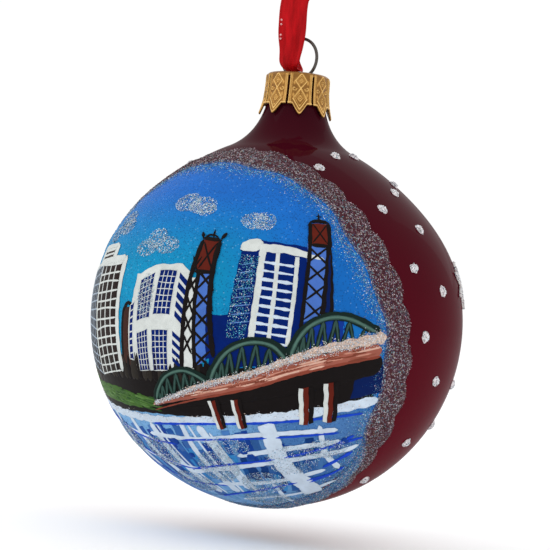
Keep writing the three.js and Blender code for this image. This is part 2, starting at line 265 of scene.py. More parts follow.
def make_flecks():
    """Fine glitter in a paste: small cells, each with its own brightness, some of them coloured."""
    tree, given, leave = new_group(
        "flecks",
        {
            "Tint": ("Color", (0.5, 0.5, 0.5, 1.0)),
            "Scale": ("Float", 2600.0),
            "Share": ("Float", 0.4),
            "Sparkle": ("Float", 1.0),
        },
        {"Colour": "Color", "Mask": "Float", "Height": "Float"},
    )
    where = own_place(tree)
    cells = add(tree, "ShaderNodeTexVoronoi", {"Vector": where, "Scale": given["Scale"]})
    parts = add(tree, "ShaderNodeSeparateColor", {0: cells.outputs["Color"]})
    picked = calc(tree, "LESS_THAN", parts.outputs[0], given["Share"])
    ramp = add(tree, "ShaderNodeValToRGB", {0: parts.outputs[1]})
    ramp.color_ramp.interpolation = "CONSTANT"
    set_stops(
        ramp,
        [
            (0.0, paint(235, 235, 240)),
            (0.34, paint(178, 186, 204)),
            (0.52, paint(120, 190, 208)),
            (0.64, paint(196, 150, 176)),
            (0.76, paint(96, 86, 132)),
            (0.9, paint(214, 196, 168)),
        ],
    )
    bright = shaded(tree, ramp.outputs[0], given["Sparkle"])
    tree.links.new(blended(tree, picked, given["Tint"], bright), leave.inputs["Colour"])
    tree.links.new(picked, leave.inputs["Mask"])
    tree.links.new(parts.outputs[2], leave.inputs["Height"])
    return tree


def make_handling():
    """Marks of handling: soft smudges that change the shine, and dust-fine specks."""
    tree, given, leave = new_group(
        "handling",
        {
            "Tint": ("Color", (0.5, 0.5, 0.5, 1.0)),
            "Smudge": ("Float", 0.1),
            "Shine": ("Float", 0.4),
            "Scale": ("Float", 90.0),
        },
        {"Colour": "Color", "Roughness": "Float", "Height": "Float"},
    )
    where = own_place(tree)
    cloud = noise(tree, where, given["Scale"], 5.0, 0.6)
    grain = noise(tree, where, calc(tree, "MULTIPLY", given["Scale"], 22.0), 2.0)
    worn = calc(tree, "MULTIPLY", calc(tree, "SUBTRACT", cloud, 0.5), given["Smudge"])
    light = calc(tree, "ADD", calc(tree, "MULTIPLY", worn, 1.4), 1.0)
    tree.links.new(shaded(tree, given["Tint"], light), leave.inputs["Colour"])
    rough = calc(tree, "ADD", given["Shine"], worn)
    tree.links.new(rough, leave.inputs["Roughness"])
    tree.links.new(grain, leave.inputs["Height"])
    return tree


brushwork = make_brushwork()
flecks = make_flecks()
handling = make_handling()


def new_material(name):
    """An empty node material with a Principled shader, and that shader."""
    material = bpy.data.materials.new(name)
    material.use_nodes = True
    shader = material.node_tree.nodes["Principled BSDF"]
    return material, material.node_tree, shader


def bump(tree, shader, height, strength, distance):
    """Feeds a height, in units of distance metres, into the shader's normal."""
    inputs = {"Strength": strength, "Distance": distance, "Height": height}
    tree.links.new(add(tree, "ShaderNodeBump", inputs).outputs[0], shader.inputs["Normal"])


def own_tint(tree):
    """The colour that a piece carries at each of its points."""
    return add(tree, "ShaderNodeAttribute", attribute_name="tint").outputs["Color"]


def set_values(shader, values):
    """Sets constant values on the shader's own sockets."""
    for name, value in values.items():
        shader.inputs[name].default_value = value


def dress(tree, shader, group, values, strength, distance, height=None):
    """Places a group and feeds its colour and roughness to the shader, with a bump from its height or
    from another height."""
    marks = use_group(tree, group, values)
    tree.links.new(marks["Colour"], shader.inputs["Base Color"])
    tree.links.new(marks["Roughness"], shader.inputs["Roughness"])
    bump(tree, shader, marks["Height"] if height is None else height, strength, distance)


def make_lacquer():
    """Satin wine-red lacquer on the outside of the glass. Its colour is painted lighter towards the foot, a
    painted reflection of the floor, and darker towards the neck.
    """
    material, tree, shader = new_material("wine_lacquer")
    height = add(tree, "ShaderNodeSeparateXYZ", {0: own_place(tree)}).outputs[2]
    foot, neck = (BALL_CENTRE[2] - BALL_RADIUS) * MM, (BALL_CENTRE[2] + 46) * MM
    # Painted reflection: the colour is lighter towards the foot, where the floor would show in the lacquer,
    # and darker towards the neck.
    tint = blended(tree, remap(tree, height, foot, neck), paint(92, 9, 25), paint(52, 8, 19))
    values = {"Tint": tint, "Smudge": 0.12, "Shine": 0.4, "Scale": 70.0}
    dress(tree, shader, handling, values, 0.12, 0.00004)
    gloss = {"Specular IOR Level": 0.0, "Coat Weight": 0.2, "Coat Roughness": 0.06, "Coat IOR": 1.22}
    set_values(shader, gloss)
    return material


def make_silvering():
    """The silvered inside of the glass."""
    material, tree, shader = new_material("silvered_inside")
    values = {"Tint": paint(206, 208, 212), "Smudge": 0.3, "Shine": 0.22, "Scale": 160.0}
    dress(tree, shader, handling, values, 0.2, 0.00003)
    set_values(shader, {"Metallic": 1.0})
    return material


def make_base_coat():
    """The picture's ground: thin smooth paint with a spray of dark and pale specks over it."""
    material, tree, shader = new_material("picture_ground")
    values = {"Tint": own_tint(tree), "Blotch": 0.22, "Streak": 0.1, "Scale": 260.0, "Shine": 0.5}
    coat = use_group(tree, brushwork, values)
    where = own_place(tree)
    spray = add(tree, "ShaderNodeTexVoronoi", {"Vector": where, "Scale": 2700.0})
    parts = add(tree, "ShaderNodeSeparateColor", {0: spray.outputs["Color"]})
    near = calc(tree, "LESS_THAN", spray.outputs["Distance"], 0.4)
    patch = remap(tree, noise(tree, where, 60.0), 0.36, 0.6, 0.62, 0.34)
    dark = calc(tree, "MULTIPLY", near, calc(tree, "GREATER_THAN", parts.outputs[0], patch))
    pale = calc(tree, "MULTIPLY", near, calc(tree, "LESS_THAN", parts.outputs[0], 0.06))
    shade = blended(tree, calc(tree, "MULTIPLY", dark, 0.42), coat["Colour"], paint(16, 50, 96))
    shade = blended(tree, calc(tree, "MULTIPLY", pale, 0.25), shade, paint(150, 200, 226))
    tree.links.new(shade, shader.inputs["Base Color"])
    tree.links.new(coat["Roughness"], shader.inputs["Roughness"])
    set_values(shader, {"Specular IOR Level": 0.05})
    bump(tree, shader, coat["Height"], 0.25, 0.00005)
    return material


def make_gouache():
    """Thick hand-laid paint, coloured by each stroke's own tint."""
    material, tree, shader = new_material("gouache")
    values = {"Tint": own_tint(tree), "Blotch": 0.16, "Streak": 0.2, "Scale": 620.0, "Shine": 0.48}
    dress(tree, shader, brushwork, values, 0.45, 0.00009)
    set_values(shader, {"Specular IOR Level": 0.04})
    return material


def make_paste():
    """Clear paste crowded with glitter, over the colour of what lies under it."""
    material, tree, shader = new_material("glitter_paste")
    values = {"Tint": own_tint(tree), "Scale": 4400.0, "Share": 0.26, "Sparkle": 0.42}
    mix = use_group(tree, flecks, values)
    tree.links.new(mix["Colour"], shader.inputs["Base Color"])
    tree.links.new(remap(tree, mix["Mask"], 0.0, 1.0, 0.5, 0.28), shader.inputs["Roughness"])
    set_values(shader, {"Specular IOR Level": 0.3})
    bump(tree, shader, mix["Height"], 0.8, 0.00012)
    return material


def make_flake_foil():
    """Cut foil flakes, each with its own tint and a faint crinkle."""
    material, tree, shader = new_material("foil_flakes")
    values = {"Tint": own_tint(tree), "Smudge": 0.3, "Shine": 0.3, "Scale": 800.0}
    dress(tree, shader, handling, values, 0.3, 0.00003)
    set_values(shader, {"Metallic": 0.55})
    return material


def make_gold():
    """Pressed gold-coloured foil, bright on the raised lines and brown in the hollows."""
    material, tree, shader = new_material("antique_gold")
    raised = add(tree, "ShaderNodeAttribute", attribute_name="relief").outputs["Fac"]
    grime = noise(tree, own_place(tree), 1500.0, 4.0)
    depth = calc(tree, "ADD", raised, calc(tree, "MULTIPLY", calc(tree, "SUBTRACT", grime, 0.5), 0.5))
    ramp = add(tree, "ShaderNodeValToRGB", {0: depth})
    hollow, low, high, bright = paints((134, 92, 40), (172, 124, 58), (200, 154, 84), (228, 188, 116))
    set_stops(ramp, [(0.0, hollow), (0.22, low), (0.6, high), (0.95, bright)])
    values = {"Tint": ramp.outputs[0], "Smudge": 0.25, "Shine": 0.36, "Scale": 420.0}
    dress(tree, shader, handling, values, 0.35, 0.00006, grime)
    set_values(shader, {"Metallic": 0.75})
    return material


def make_steel():
    """Dull drawn spring wire with fine lines along it."""
    material, tree, shader = new_material("spring_steel")
    along = add(tree, "ShaderNodeUVMap", uv_map="along").outputs[0]
    lines = add(tree, "ShaderNodeMapping", {"Vector": along, "Scale": (3.0, 40.0, 1.0)}).outputs[0]
    drawn = noise(tree, lines, 2.0, 3.0)
    tint = blended(tree, drawn, paint(48, 45, 44), paint(104, 98, 92))
    values = {"Tint": tint, "Smudge": 0.5, "Shine": 0.34, "Scale": 700.0}
    dress(tree, shader, handling, values, 0.3, 0.00004, drawn)
    set_values(shader, {"Metallic": 0.85})
    return material


def make_satin():
    """Red satin ribbon: fine ribs across, threads along, a tighter edge and a soft sheen, which is partly a
    painted sheen of lighter slanting streaks in its colour.
    Its UV map is in millimetres, U along the ribbon and V across it."""
    material, tree, shader = new_material("red_satin")
    cloth = add(tree, "ShaderNodeUVMap", uv_map="cloth").outputs[0]
    parts = add(tree, "ShaderNodeSeparateXYZ", {0: cloth})
    ribs = calc(tree, "SINE", calc(tree, "MULTIPLY", parts.outputs[0], 2 * math.pi / 0.42))
    threads = calc(tree, "SINE", calc(tree, "MULTIPLY", parts.outputs[1], 2 * math.pi / 0.3))
    slant = {"Vector": cloth, "Rotation": (0, 0, 0.35), "Scale": (0.12, 0.7, 1)}
    sheen = noise(tree, add(tree, "ShaderNodeMapping", slant).outputs[0], 1.0, 3.0)
    slub = noise(tree, cloth, 2.2, 3.0)
    edge = remap(tree, calc(tree, "ABSOLUTE", parts.outputs[1]), 2.45, 2.62)
    weave = calc(tree, "MULTIPLY", calc(tree, "ADD", ribs, threads), 0.25)
    weave = calc(tree, "ADD", weave, calc(tree, "MULTIPLY", slub, 0.5))
    # Painted sheen: the slanting noise lightens the red where the satin would catch the light; a faint real
    # sheen is set on the shader too.
    tint = blended(tree, remap(tree, sheen, 0.36, 0.66), paint(146, 6, 12), paint(186, 14, 22))
    tint = blended(tree, calc(tree, "MULTIPLY", edge, 0.5), tint, paint(160, 10, 18))
    light = remap(tree, weave, -0.4, 0.9, 0.93, 1.05)
    tree.links.new(shaded(tree, tint, light), shader.inputs["Base Color"])
    tree.links.new(remap(tree, sheen, 0.3, 0.7, 0.58, 0.44), shader.inputs["Roughness"])
    set_values(shader, {"Specular IOR Level": 0.06, "Sheen Weight": 0.015, "Sheen Roughness": 0.4})
    bump(tree, shader, weave, 0.35, 0.00006)
    return material


def make_floor_paper():
    """Pale paper under the ball, with a little light of its own so that it stays white."""
    material, tree, shader = new_material("studio_paper")
    values = {"Tint": paint(250, 250, 251), "Smudge": 0.01, "Shine": 0.8, "Scale": 8.0}
    marks = use_group(tree, handling, values)
    set_values(shader, {"Emission Color": (1.0, 1.0, 1.0, 1.0), "Emission Strength": 0.1})
    tree.links.new(marks["Colour"], shader.inputs["Base Color"])
    tree.links.new(marks["Roughness"], shader.inputs["Roughness"])
    return material


lacquer = make_lacquer()
silvering = make_silvering()
base_coat = make_base_coat()
gouache = make_gouache()
paste = make_paste()
foil = make_flake_foil()
gold = make_gold()
steel = make_steel()
satin = make_satin()


# --- meshes from arrays --------------------------------------------------------------------------


def make_piece(name, points, faces, materials, smooth=True, colours=None, masks=None, uv=None, parts=None):
    """A mesh from points in millimetres and arrays of faces of three or four corners.
    colours is a colour for each point, masks is {name: number for each point}, uv is (map name, a
    pair for each point), and parts is a material number for each face."""
    faces = [np.asarray(group) for group in faces if len(group)]
    used, corners = np.unique(np.concatenate([g.ravel() for g in faces]), return_inverse=True)
    points = np.asarray(points)[used] * MM
    sizes = np.concatenate([np.full(len(g), g.shape[1]) for g in faces])
    mesh = bpy.data.meshes.new(name)
    mesh.vertices.add(len(points))
    mesh.vertices.foreach_set("co", points.astype(np.float32).ravel())
    mesh.loops.add(len(corners))
    mesh.loops.foreach_set("vertex_index", corners.astype(np.int32))
    mesh.polygons.add(len(sizes))
    starts = np.concatenate([[0], np.cumsum(sizes)[:-1]])
    mesh.polygons.foreach_set("loop_start", starts.astype(np.int32))
    mesh.polygons.foreach_set("use_smooth", np.full(len(sizes), smooth))
    for material in materials if isinstance(materials, list) else [materials]:
        mesh.materials.append(material)
    if parts is not None:
        mesh.polygons.foreach_set("material_index", np.asarray(parts, np.int32))
    mesh.update(calc_edges=True)
    if colours is not None:
        layer = mesh.attributes.new("tint", "FLOAT_COLOR", "POINT")
        layer.data.foreach_set("color", np.asarray(colours)[used].astype(np.float32).ravel())
    for label, values in (masks or {}).items():
        layer = mesh.attributes.new(label, "FLOAT", "POINT")
        layer.data.foreach_set("value", np.asarray(values)[used].astype(np.float32))
    if uv is not None:
        layer = mesh.uv_layers.new(name=uv[0])
        pairs = np.asarray(uv[1])[used][corners]
        layer.data.foreach_set("uv", pairs.astype(np.float32).ravel())
    mesh.validate()
    piece = bpy.data.objects.new(name, mesh)
    bpy.context.scene.collection.objects.link(piece)
    return piece


def finish_piece(piece, body, slot, *nodes):
    """Says which body a piece moves with and hides the CAD nodes that it stands for. The slot is not used.
    """
    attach(piece, body)
    if nodes:
        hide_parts(*nodes)
    return piece


def slab_faces(rows, columns, keep=None, wrap=False):
    """The faces of a closed sheet made of two grids of points, the upper one first: the upper grid,
    the lower one turned over, and a strip along each open edge. keep says which cells are there,
    and wrap joins the last column to the first."""
    across = columns if wrap else columns - 1
    if keep is None:
        keep = np.ones((rows - 1, across), bool)
    index = np.arange(rows * columns).reshape(rows, columns)
    if wrap:
        index = np.concatenate([index, index[:, :1]], axis=1)
    a, b, c, d = index[:-1, :-1], index[:-1, 1:], index[1:, 1:], index[1:, :-1]
    under = rows * columns
    beyond = np.pad(keep, 1)
    if wrap:
        beyond[1:-1, 0], beyond[1:-1, -1] = keep[:, -1], keep[:, 0]
    faces = [np.stack([a, b, c, d], -1)[keep], np.stack([d, c, b, a], -1)[keep] + under]
    sides = (
        (keep & ~beyond[:-2, 1:-1], b, a),
        (keep & ~beyond[1:-1, 2:], c, b),
        (keep & ~beyond[2:, 1:-1], d, c),
        (keep & ~beyond[1:-1, :-2], a, d),
    )
    for open_edge, first, second in sides:
        strip = np.stack([first, second, second + under, first + under], -1)
        faces.append(strip[open_edge])
    return np.concatenate(faces)


def outward(points, faces):
    """Faces of a closed shell, turned over if they face in: the signed volume is below nothing."""
    volume = 0.0
    for group in faces:
        first = points[group[:, 0]]
        for k in range(1, group.shape[1] - 1):
            pair = np.cross(points[group[:, k]], points[group[:, k + 1]])
            volume += np.einsum("ij,ij->", first, pair)
    return faces if volume > 0 else [group[:, ::-1] for group in faces]


def two_sides(upper, lower):
    """The rows of two grids, one after the other, as a closed sheet takes them."""
    width = upper.shape[-1]
    return np.concatenate([upper.reshape(-1, width), lower.reshape(-1, width)])


def ring_faces(rows, columns):
    """The faces of rings of points, each joined to the next, with a fan of triangles at each end to
    one more point, which follow the rings' own."""
    index = np.arange(rows * columns).reshape(rows, columns)
    after = np.roll(index, -1, 1)
    quads = np.stack([index[:-1], after[:-1], after[1:], index[1:]], -1).reshape(-1, 4)
    head = np.stack([after[0], index[0], np.full(columns, index.size)], -1)
    foot = np.stack([index[-1], after[-1], np.full(columns, index.size + 1)], -1)
    return [quads, np.concatenate([head, foot])]


def round_grid(count):
    """A square grid bent onto a disc: (u, v) becomes (u sqrt(1 - v2/2), v sqrt(1 - u2/2))."""
    u, v = np.meshgrid(np.linspace(-1, 1, count), np.linspace(-1, 1, count))
    return u * np.sqrt(1 - v**2 / 2), v * np.sqrt(1 - u**2 / 2)


def lathe(radii, heights, turns):
    """A profile turned round the upright axis: each point is (r cos a, r sin a, h). The profile
    starts and ends on the axis, where a fan of triangles closes it. Gives points, faces and, for
    each face, the number of the profile's step."""
    angle = np.arange(turns) * 2 * math.pi / turns
    radii_in, heights_in = radii[1:-1], np.repeat(heights[1:-1, None], turns, 1)
    ring = np.stack([np.outer(radii_in, np.cos(angle)), np.outer(radii_in, np.sin(angle)), heights_in], -1)
    points = np.concatenate([ring.reshape(-1, 3), [[0, 0, heights[0]], [0, 0, heights[-1]]]])
    steps = np.repeat(np.arange(1, len(radii_in)), turns)
    steps = np.concatenate([steps, np.zeros(turns), np.full(turns, len(radii_in))])
    return points, outward(points, ring_faces(len(radii_in), turns)), steps


def curve_through(corners, per_span=8):
    """A smooth curve through points: the Catmull-Rom blend
    ((2b) + (c-a)t + (2a-5b+4c-d)t2 + (3b-a-3c+d)t3) / 2 between each two of them."""
    corners = np.asarray(corners, float)
    ends = np.concatenate([[2 * corners[0] - corners[1]], corners, [2 * corners[-1] - corners[-2]]])
    t = (np.arange(per_span) / per_span)[None, :, None]
    a, b, c, d = (ends[k : len(ends) - 3 + k, None, :] for k in range(4))
    spans = 2 * b + (c - a) * t + (2 * a - 5 * b + 4 * c - d) * t**2 + (3 * b - a - 3 * c + d) * t**3
    return np.concatenate([spans.reshape(-1, corners.shape[1]) / 2, corners[-1:]])


def even_steps(route, step=None, count=None):
    """The same route as points evenly spaced along its length, and that length."""
    gaps = np.linalg.norm(np.diff(route, axis=0), axis=1)
    done = np.concatenate([[0], np.cumsum(gaps)])
    count = count or max(3, int(math.ceil(done[-1] / step)) + 1)
    wanted = np.linspace(0, done[-1], count)
    return np.stack([np.interp(wanted, done, route[:, k]) for k in range(route.shape[1])], -1), done[-1]


def tube(route, radius, sides, hint):
    """A round wire along a route, closed by a fan at each end: each ring is the route's point plus
    radius times (cos a of one crosswise axis, sin a of the other). Also gives its UV pairs."""
    along = unit(np.gradient(route, axis=0))
    first = unit(np.cross(along, hint))
    second = np.cross(along, first)
    angle = np.arange(sides) * 2 * math.pi / sides
    around = np.cos(angle)[:, None] * first[:, None] + np.sin(angle)[:, None] * second[:, None]
    ring = route[:, None] + radius * around
    points = np.concatenate([ring.reshape(-1, 3), route[:1], route[-1:]])
    far = np.concatenate([[0], np.cumsum(np.linalg.norm(np.diff(route, axis=0), axis=1))])
    pairs = np.stack([np.repeat(far, sides), np.tile(angle / (2 * math.pi), len(route))], -1)
    pairs = np.concatenate([pairs, [[0, 0], [far[-1], 0]]])
    return points, outward(points, ring_faces(len(route), sides)), pairs


# --- the ribbon ----------------------------------------------------------------------------------

RIBBON_WIDTH = 6.35
RIBBON_THICK = 0.34
RIBBON_GATHERED = 2.9
RIBBON_TWIST = math.radians(-14)
# The ribbon's route, from the hanging point: down in front of the wire's loop, through it and up.
RIBBON_ROUTE = [
    (-0.6, -0.9, 2.2),
    (-1.0, -1.3, 0.6),
    (-1.35, -1.7, -1.5),
    (-1.3, -2.15, -4.0),
    (-1.0, -2.5, -7.0),
    (-0.8, -2.65, -10.0),
    (-0.75, -2.65, -12.5),
    (-0.95, -2.6, -14.5),
    (-1.2, -2.25, -16.0),
    (-1.15, -1.3, -17.0),
    (-0.85, 0.0, -17.35),
    (-1.5, 1.3, -17.05),
    (-2.6, 2.25, -16.0),
    (-3.2, 2.6, -14.5),
    (-3.1, 2.65, -12.5),
    (-3.5, 2.65, -10.0),
    (-3.6, 2.5, -7.0),
    (-3.2, 2.15, -4.0),
    (-2.4, 1.7, -1.5),
    (-1.3, 1.3, 0.6),
    (-0.8, 0.9, 2.2),
]


def ease(value, low, high):
    """0 below low, 1 above high and 3t2 - 2t3 between them."""
    t = np.clip((np.asarray(value, float) - low) / (high - low), 0, 1)
    return t * t * (3 - 2 * t)


def cad_box(name):
    """The low and high corner of a CAD node's box, in mm."""
    return [np.array(corner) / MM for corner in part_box(name)]


def strip_axes(route, sideways):
    """At each point of a route: the way along it, the way across it that is nearest to sideways, and
    the way out of the strip."""
    along = unit(np.gradient(route, axis=0))
    across = unit(sideways - along * (along @ sideways)[:, None])
    return along, across, np.cross(along, across)


def twisted(first, second, angle):
    """Two crosswise axes turned by an angle: first cos + second sin, and second cos - first sin."""
    return first * np.cos(angle) + second * np.sin(angle), second * np.cos(angle) - first * np.sin(angle)


def make_strip(name, middle, normal, fold, thick, down, over):
    """A closed satin strip: each point of the middle grid, moved along the normal by the fold plus
    and minus the thickness. down and over are its UV pairs in mm."""
    upper = middle + normal[:, None] * (fold + thick)[..., None]
    lower = middle + normal[:, None] * (fold - thick)[..., None]
    points = two_sides(upper, lower)
    pair = np.stack(np.broadcast_arrays(down, over), -1)
    faces = outward(points, [slab_faces(*fold.shape)])
    return make_piece(name, points, faces, satin, uv=("cloth", two_sides(pair, pair)))


def make_ribbon():
    """A strip along the route. Across it v runs from -1 to 1, and a point is
    centre + across v w/2 + normal (fold(v) + half the thickness). The width w is 2.9 mm under the
    wire's loop and widens to 6.35 mm above it, later on the rear strand. The width to spare goes into
    a fold cos(pi v + 0.9), a crease runs up from the loop, and the strip turns 14 degrees."""
    route, length = even_steps(curve_through(RIBBON_ROUTE, 16), count=260)
    share = np.linspace(0, 1, len(route))
    away = np.abs(share - 0.5)
    _, across, normal = strip_axes(route, np.array([1.0, 0, 0]))
    across, normal = twisted(across, normal, (RIBBON_TWIST * ease(away, 0.06, 0.24))[:, None])
    width = RIBBON_GATHERED + 2.3 * ease(away, 0.015, 0.1) + 1.15 * ease(away, 0.08, 0.26)
    rear = RIBBON_GATHERED + 2.0 * ease(away, 0.14, 0.38)
    width = np.where(share < 0.5, width, np.minimum(width, rear))[:, None]
    v = np.linspace(-1, 1, 33)
    down = share[:, None] * length
    fold = (1 - width / RIBBON_WIDTH) * 0.6 * np.cos(math.pi * v + 0.9)
    fold = fold + 0.06 * np.sin(down * 0.3 + 1.6 * v) * ease(away, 0.1, 0.3)[:, None]
    crease = np.exp(-(((v - 0.42 - 0.08 * np.sin(down * 0.5)) / 0.2) ** 2))
    reach = ease(away, 0.05, 0.12) * (1 - ease(away, 0.2, 0.34))
    fold = fold - 0.3 * crease * reach[:, None]
    rim = 0.05 * ease(np.abs(v), 0.84, 0.9)
    thick = RIBBON_THICK / 2 * np.sqrt(np.clip(1 - np.abs(v) ** 16, 0.05, 1)) + rim
    middle = route[:, None] + across[:, None] * (v * width / 2)[..., None]
    return make_strip("ribbon_strip", middle, normal, fold, thick, down, v * RIBBON_WIDTH / 2), route


def make_stitches(route):
    """Pale thread loops along one edge of the front strand, in two pairs: domes that stand
    0.16 + 0.3 sqrt(1 - x2 - y2) mm over the ribbon."""
    along, across, out = strip_axes(route, np.array([1.0, 0, 0]))
    across, out = twisted(across, out, RIBBON_TWIST)
    front = route[: len(route) // 2, 2]
    x, y = round_grid(7)
    dome = 0.16 + 0.3 * np.sqrt(np.clip(1 - x**2 - y**2, 0, 1))
    points, faces = [], []
    for height in (-6.4, -7.3, -9.7, -10.5):
        row = int(np.argmin(np.abs(front - height)))
        outer = out[row] if out[row, 1] < 0 else -out[row]
        middle = route[row] - across[row] * (RIBBON_WIDTH / 2 - 0.7) + outer * 0.15
        flat = middle + (x * 0.2)[..., None] * across[row] + (y * 0.24)[..., None] * along[row]
        faces.append(slab_faces(7, 7) + 2 * x.size * len(faces))
        points.append(two_sides(flat + dome[..., None] * outer, flat - outer * 0.1))
    points = np.concatenate(points)
    pairs = np.tile(np.stack([x, y], -1).reshape(-1, 2), (2 * len(faces), 1))
    colours = np.tile(np.array(paint(226, 170, 170)), (len(points), 1))
    faces = [outward(points, [group])[0] for group in faces]
    return make_piece("ribbon_stitches", points, faces, gouache, colours=colours, uv=("cloth", pairs))


def make_knot():
    """A closed egg round the strands, parted into three wraps: its radius is
    0.9 + 0.06 exp(-(w / 0.6)2) less two grooves 0.16 exp(-((w -+ 0.95) / 0.14)2), with small pleats,
    where w = 2.4 cos(turn) + 0.5 sin(roll)."""
    low, high = cad_box("ribbon_knot")
    middle, radii = (low + high) / 2, (high - low) / 2
    turn = np.linspace(0, math.pi, 90)[1:-1, None]
    roll = (np.arange(96) * 2 * math.pi / 96)[None]
    wrap = np.cos(turn) * 2.4 + 0.5 * np.sin(roll)
    groove = np.exp(-(((wrap - 0.95) / 0.14) ** 2)) + np.exp(-(((wrap + 0.95) / 0.14) ** 2))
    pleat = 0.03 * np.sin(roll * 5 + turn * 6) + 0.02 * np.cos(roll * 9 - turn * 11)
    swell = 0.9 - 0.16 * groove + pleat + 0.06 * np.exp(-((wrap / 0.6) ** 2))
    egg = np.stack([np.cos(turn) + 0 * roll, np.sin(turn) * np.cos(roll), np.sin(turn) * np.sin(roll)], -1)
    grid = middle + egg * swell[..., None] * radii
    ends = middle + np.array([[0.9, 0, 0], [-0.9, 0, 0]]) * radii
    points = np.concatenate([grid.reshape(-1, 3), ends])
    pair = np.stack(np.broadcast_arrays(turn * 4, np.sin(roll) * 2.2), -1)
    pairs = np.concatenate([pair.reshape(-1, 2), [[0, 0], [4 * math.pi, 0]]])
    faces = outward(points, ring_faces(*swell.shape))
    return make_piece("ribbon_knot_wraps", points, faces, satin, uv=("cloth", pairs))


def make_tail(name, side):
    """One cut end of the ribbon: a curved strip from inside the knot, cupped across its width by
    0.35 mm times v squared, its end cut on a slant."""
    low, high = cad_box("ribbon_knot")
    steps = [(3.0, 0.1, 0.0), (4.8, 0.3, 0.6), (7.2, 0.9, 2.2), (9.0, 1.2, 4.6)]
    route, length = even_steps(curve_through([(side * x, side * y, z) for x, y, z in steps], 12), count=40)
    route = route + (low + high) / 2
    along, across, normal = strip_axes(route, np.array([0.0, 1.0, 0.0]))
    share = np.linspace(0, 1, len(route))[:, None]
    width = 2.6 + 3.0 * ease(share, 0.0, 0.5)
    v = np.linspace(-1, 1, 25)
    cup = 0.35 * v**2 * (1 - share * 0.6) + 0.12 * np.sin(5 * v + 6 * share)
    slant = -0.7 * (v + 1) / 2 * ease(share, 0.6, 1.0)
    middle = route[:, None] + across[:, None] * (v * width / 2)[..., None]
    middle = middle + along[:, None] * slant[..., None]
    return make_strip(name, middle, normal, cup, 0.13, share * length, v * 3.1)


ribbon, ribbon_line = make_ribbon()
stitches = make_stitches(ribbon_line)
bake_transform(stitches)
knot = finish_piece(make_knot(), "ribbon", "ribbon", "ribbon_knot")
tails = [
    finish_piece(make_tail("ribbon_end_left", -1), "ribbon", "ribbon", "ribbon_tail_left"),
    finish_piece(make_tail("ribbon_end_right", 1), "ribbon", "ribbon", "ribbon_tail_right"),
]
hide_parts("ribbon_front", "ribbon_bight", "ribbon_back")
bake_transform(ribbon)


# --- the glass -----------------------------------------------------------------------------------


def surface_radius(polar):
    """The glass's outer radius at an angle from the top, in degrees: 40 mm, less a dip of
    1.35 cos2(90 (a - 38) / 38) over the shoulder under the neck."""
    away = (np.asarray(polar, float) - SHOULDER_ANGLE) / SHOULDER_ANGLE
    dip = SHOULDER_DIP * np.cos(math.pi / 2 * np.clip(away, -1, 1)) ** 2
    return BALL_RADIUS - dip


def direction(lon, lat):
    """The unit vector at a longitude and latitude: (sin lon cos lat, -cos lon cos lat, sin lat)."""
    lon, lat = np.radians(lon), np.radians(lat)
    return np.stack([np.sin(lon) * np.cos(lat), -np.cos(lon) * np.cos(lat), np.sin(lat)], -1)


def near_ball(towards, lift):
    """Points over the glass: the ball's middle plus the unit vector times the radius and the lift."""
    polar = np.degrees(np.arccos(np.clip(towards[..., 2], -1, 1)))
    return BALL_CENTRE + towards * (surface_radius(polar) + lift)[..., None]


middle_way = direction(PICTURE_LON, PICTURE_LAT)
east_way = direction(PICTURE_LON + 90, 0)
north_way = np.cross(middle_way, east_way)


def make_glass():
    """The blown glass, turned: up the outside, over the shoulder, along the quadratic curve of the
    flare, up the neck, over the rim and down again 0.8 mm further in."""
    neck_radius, mouth, flare_top, flare_angle, flare_belly = 6.2, 52.5, 47.5, 20.0, 1.4
    polar = np.linspace(180, flare_angle, 150)
    sin, cos = np.sin(np.radians(polar)), np.cos(np.radians(polar))
    radius = surface_radius(polar)
    body = np.stack([radius * sin, radius * cos], -1)
    foot, tip = body[-1], np.array([neck_radius, flare_top])
    bend = np.array([neck_radius + flare_belly, 40.0])
    t = np.linspace(0, 1, 26)[1:, None]
    flare = foot * (1 - t) ** 2 + 2 * bend * t * (1 - t) + tip * t**2
    neck = np.array([[neck_radius, height] for height in (48.2, 49.6, 51.0, 52.1, 52.4)])
    rim_in = neck_radius - GLASS_WALL
    outer = np.concatenate([body, flare, neck])
    edge = np.array([[neck_radius - 0.12, mouth], [rim_in + 0.12, mouth]])
    inward = unit(np.gradient(outer, axis=0))
    inner = outer + np.stack([-inward[:, 1], inward[:, 0]], -1) * GLASS_WALL
    inner[:, 0] = np.clip(inner[:, 0], 0, None)
    inner = inner[inner[:, 1] < mouth - 0.05][::-1]
    inner[-1] = [0, -BALL_RADIUS + GLASS_WALL]
    profile = np.concatenate([outer, edge, inner])
    profile[0, 0] = 0
    points, faces, steps = lathe(profile[:, 0], profile[:, 1], 192)
    points = points + BALL_CENTRE
    inside = (steps > len(outer) + 1).astype(int)
    return make_piece("lacquered_glass", points, faces, [lacquer, silvering], parts=inside)


glass = finish_piece(make_glass(), "ball", "painted_glass", "glass_ball")


# --- the cap and the wire ------------------------------------------------------------------------

CAP_TOP = 53.5
CAP_RADIUS = 6.85
CAP_SHEET = 0.35
CAP_CORNER = 0.9
CAP_TURN = 41.2
TABS = 8
SLIT_WIDTH = 0.4
SLIT_TOP = 1.0
TOOTH_RADIUS = 7.85
CAP_HEIGHT = 7.1
TOOTH_DROP = 2.2
TOOTH_SHARE = 0.6
FLARE_DEPTH = 9.0
PATTERN_HEIGHT = 0.2
LOOP_RADIUS = 4.4
WIRE_RADIUS = 0.35


def ridge(distance, width):
    """A rounded raised line: 1 on the line, falling as exp(-(d / width)4)."""
    return np.exp(-((distance / width) ** 4))


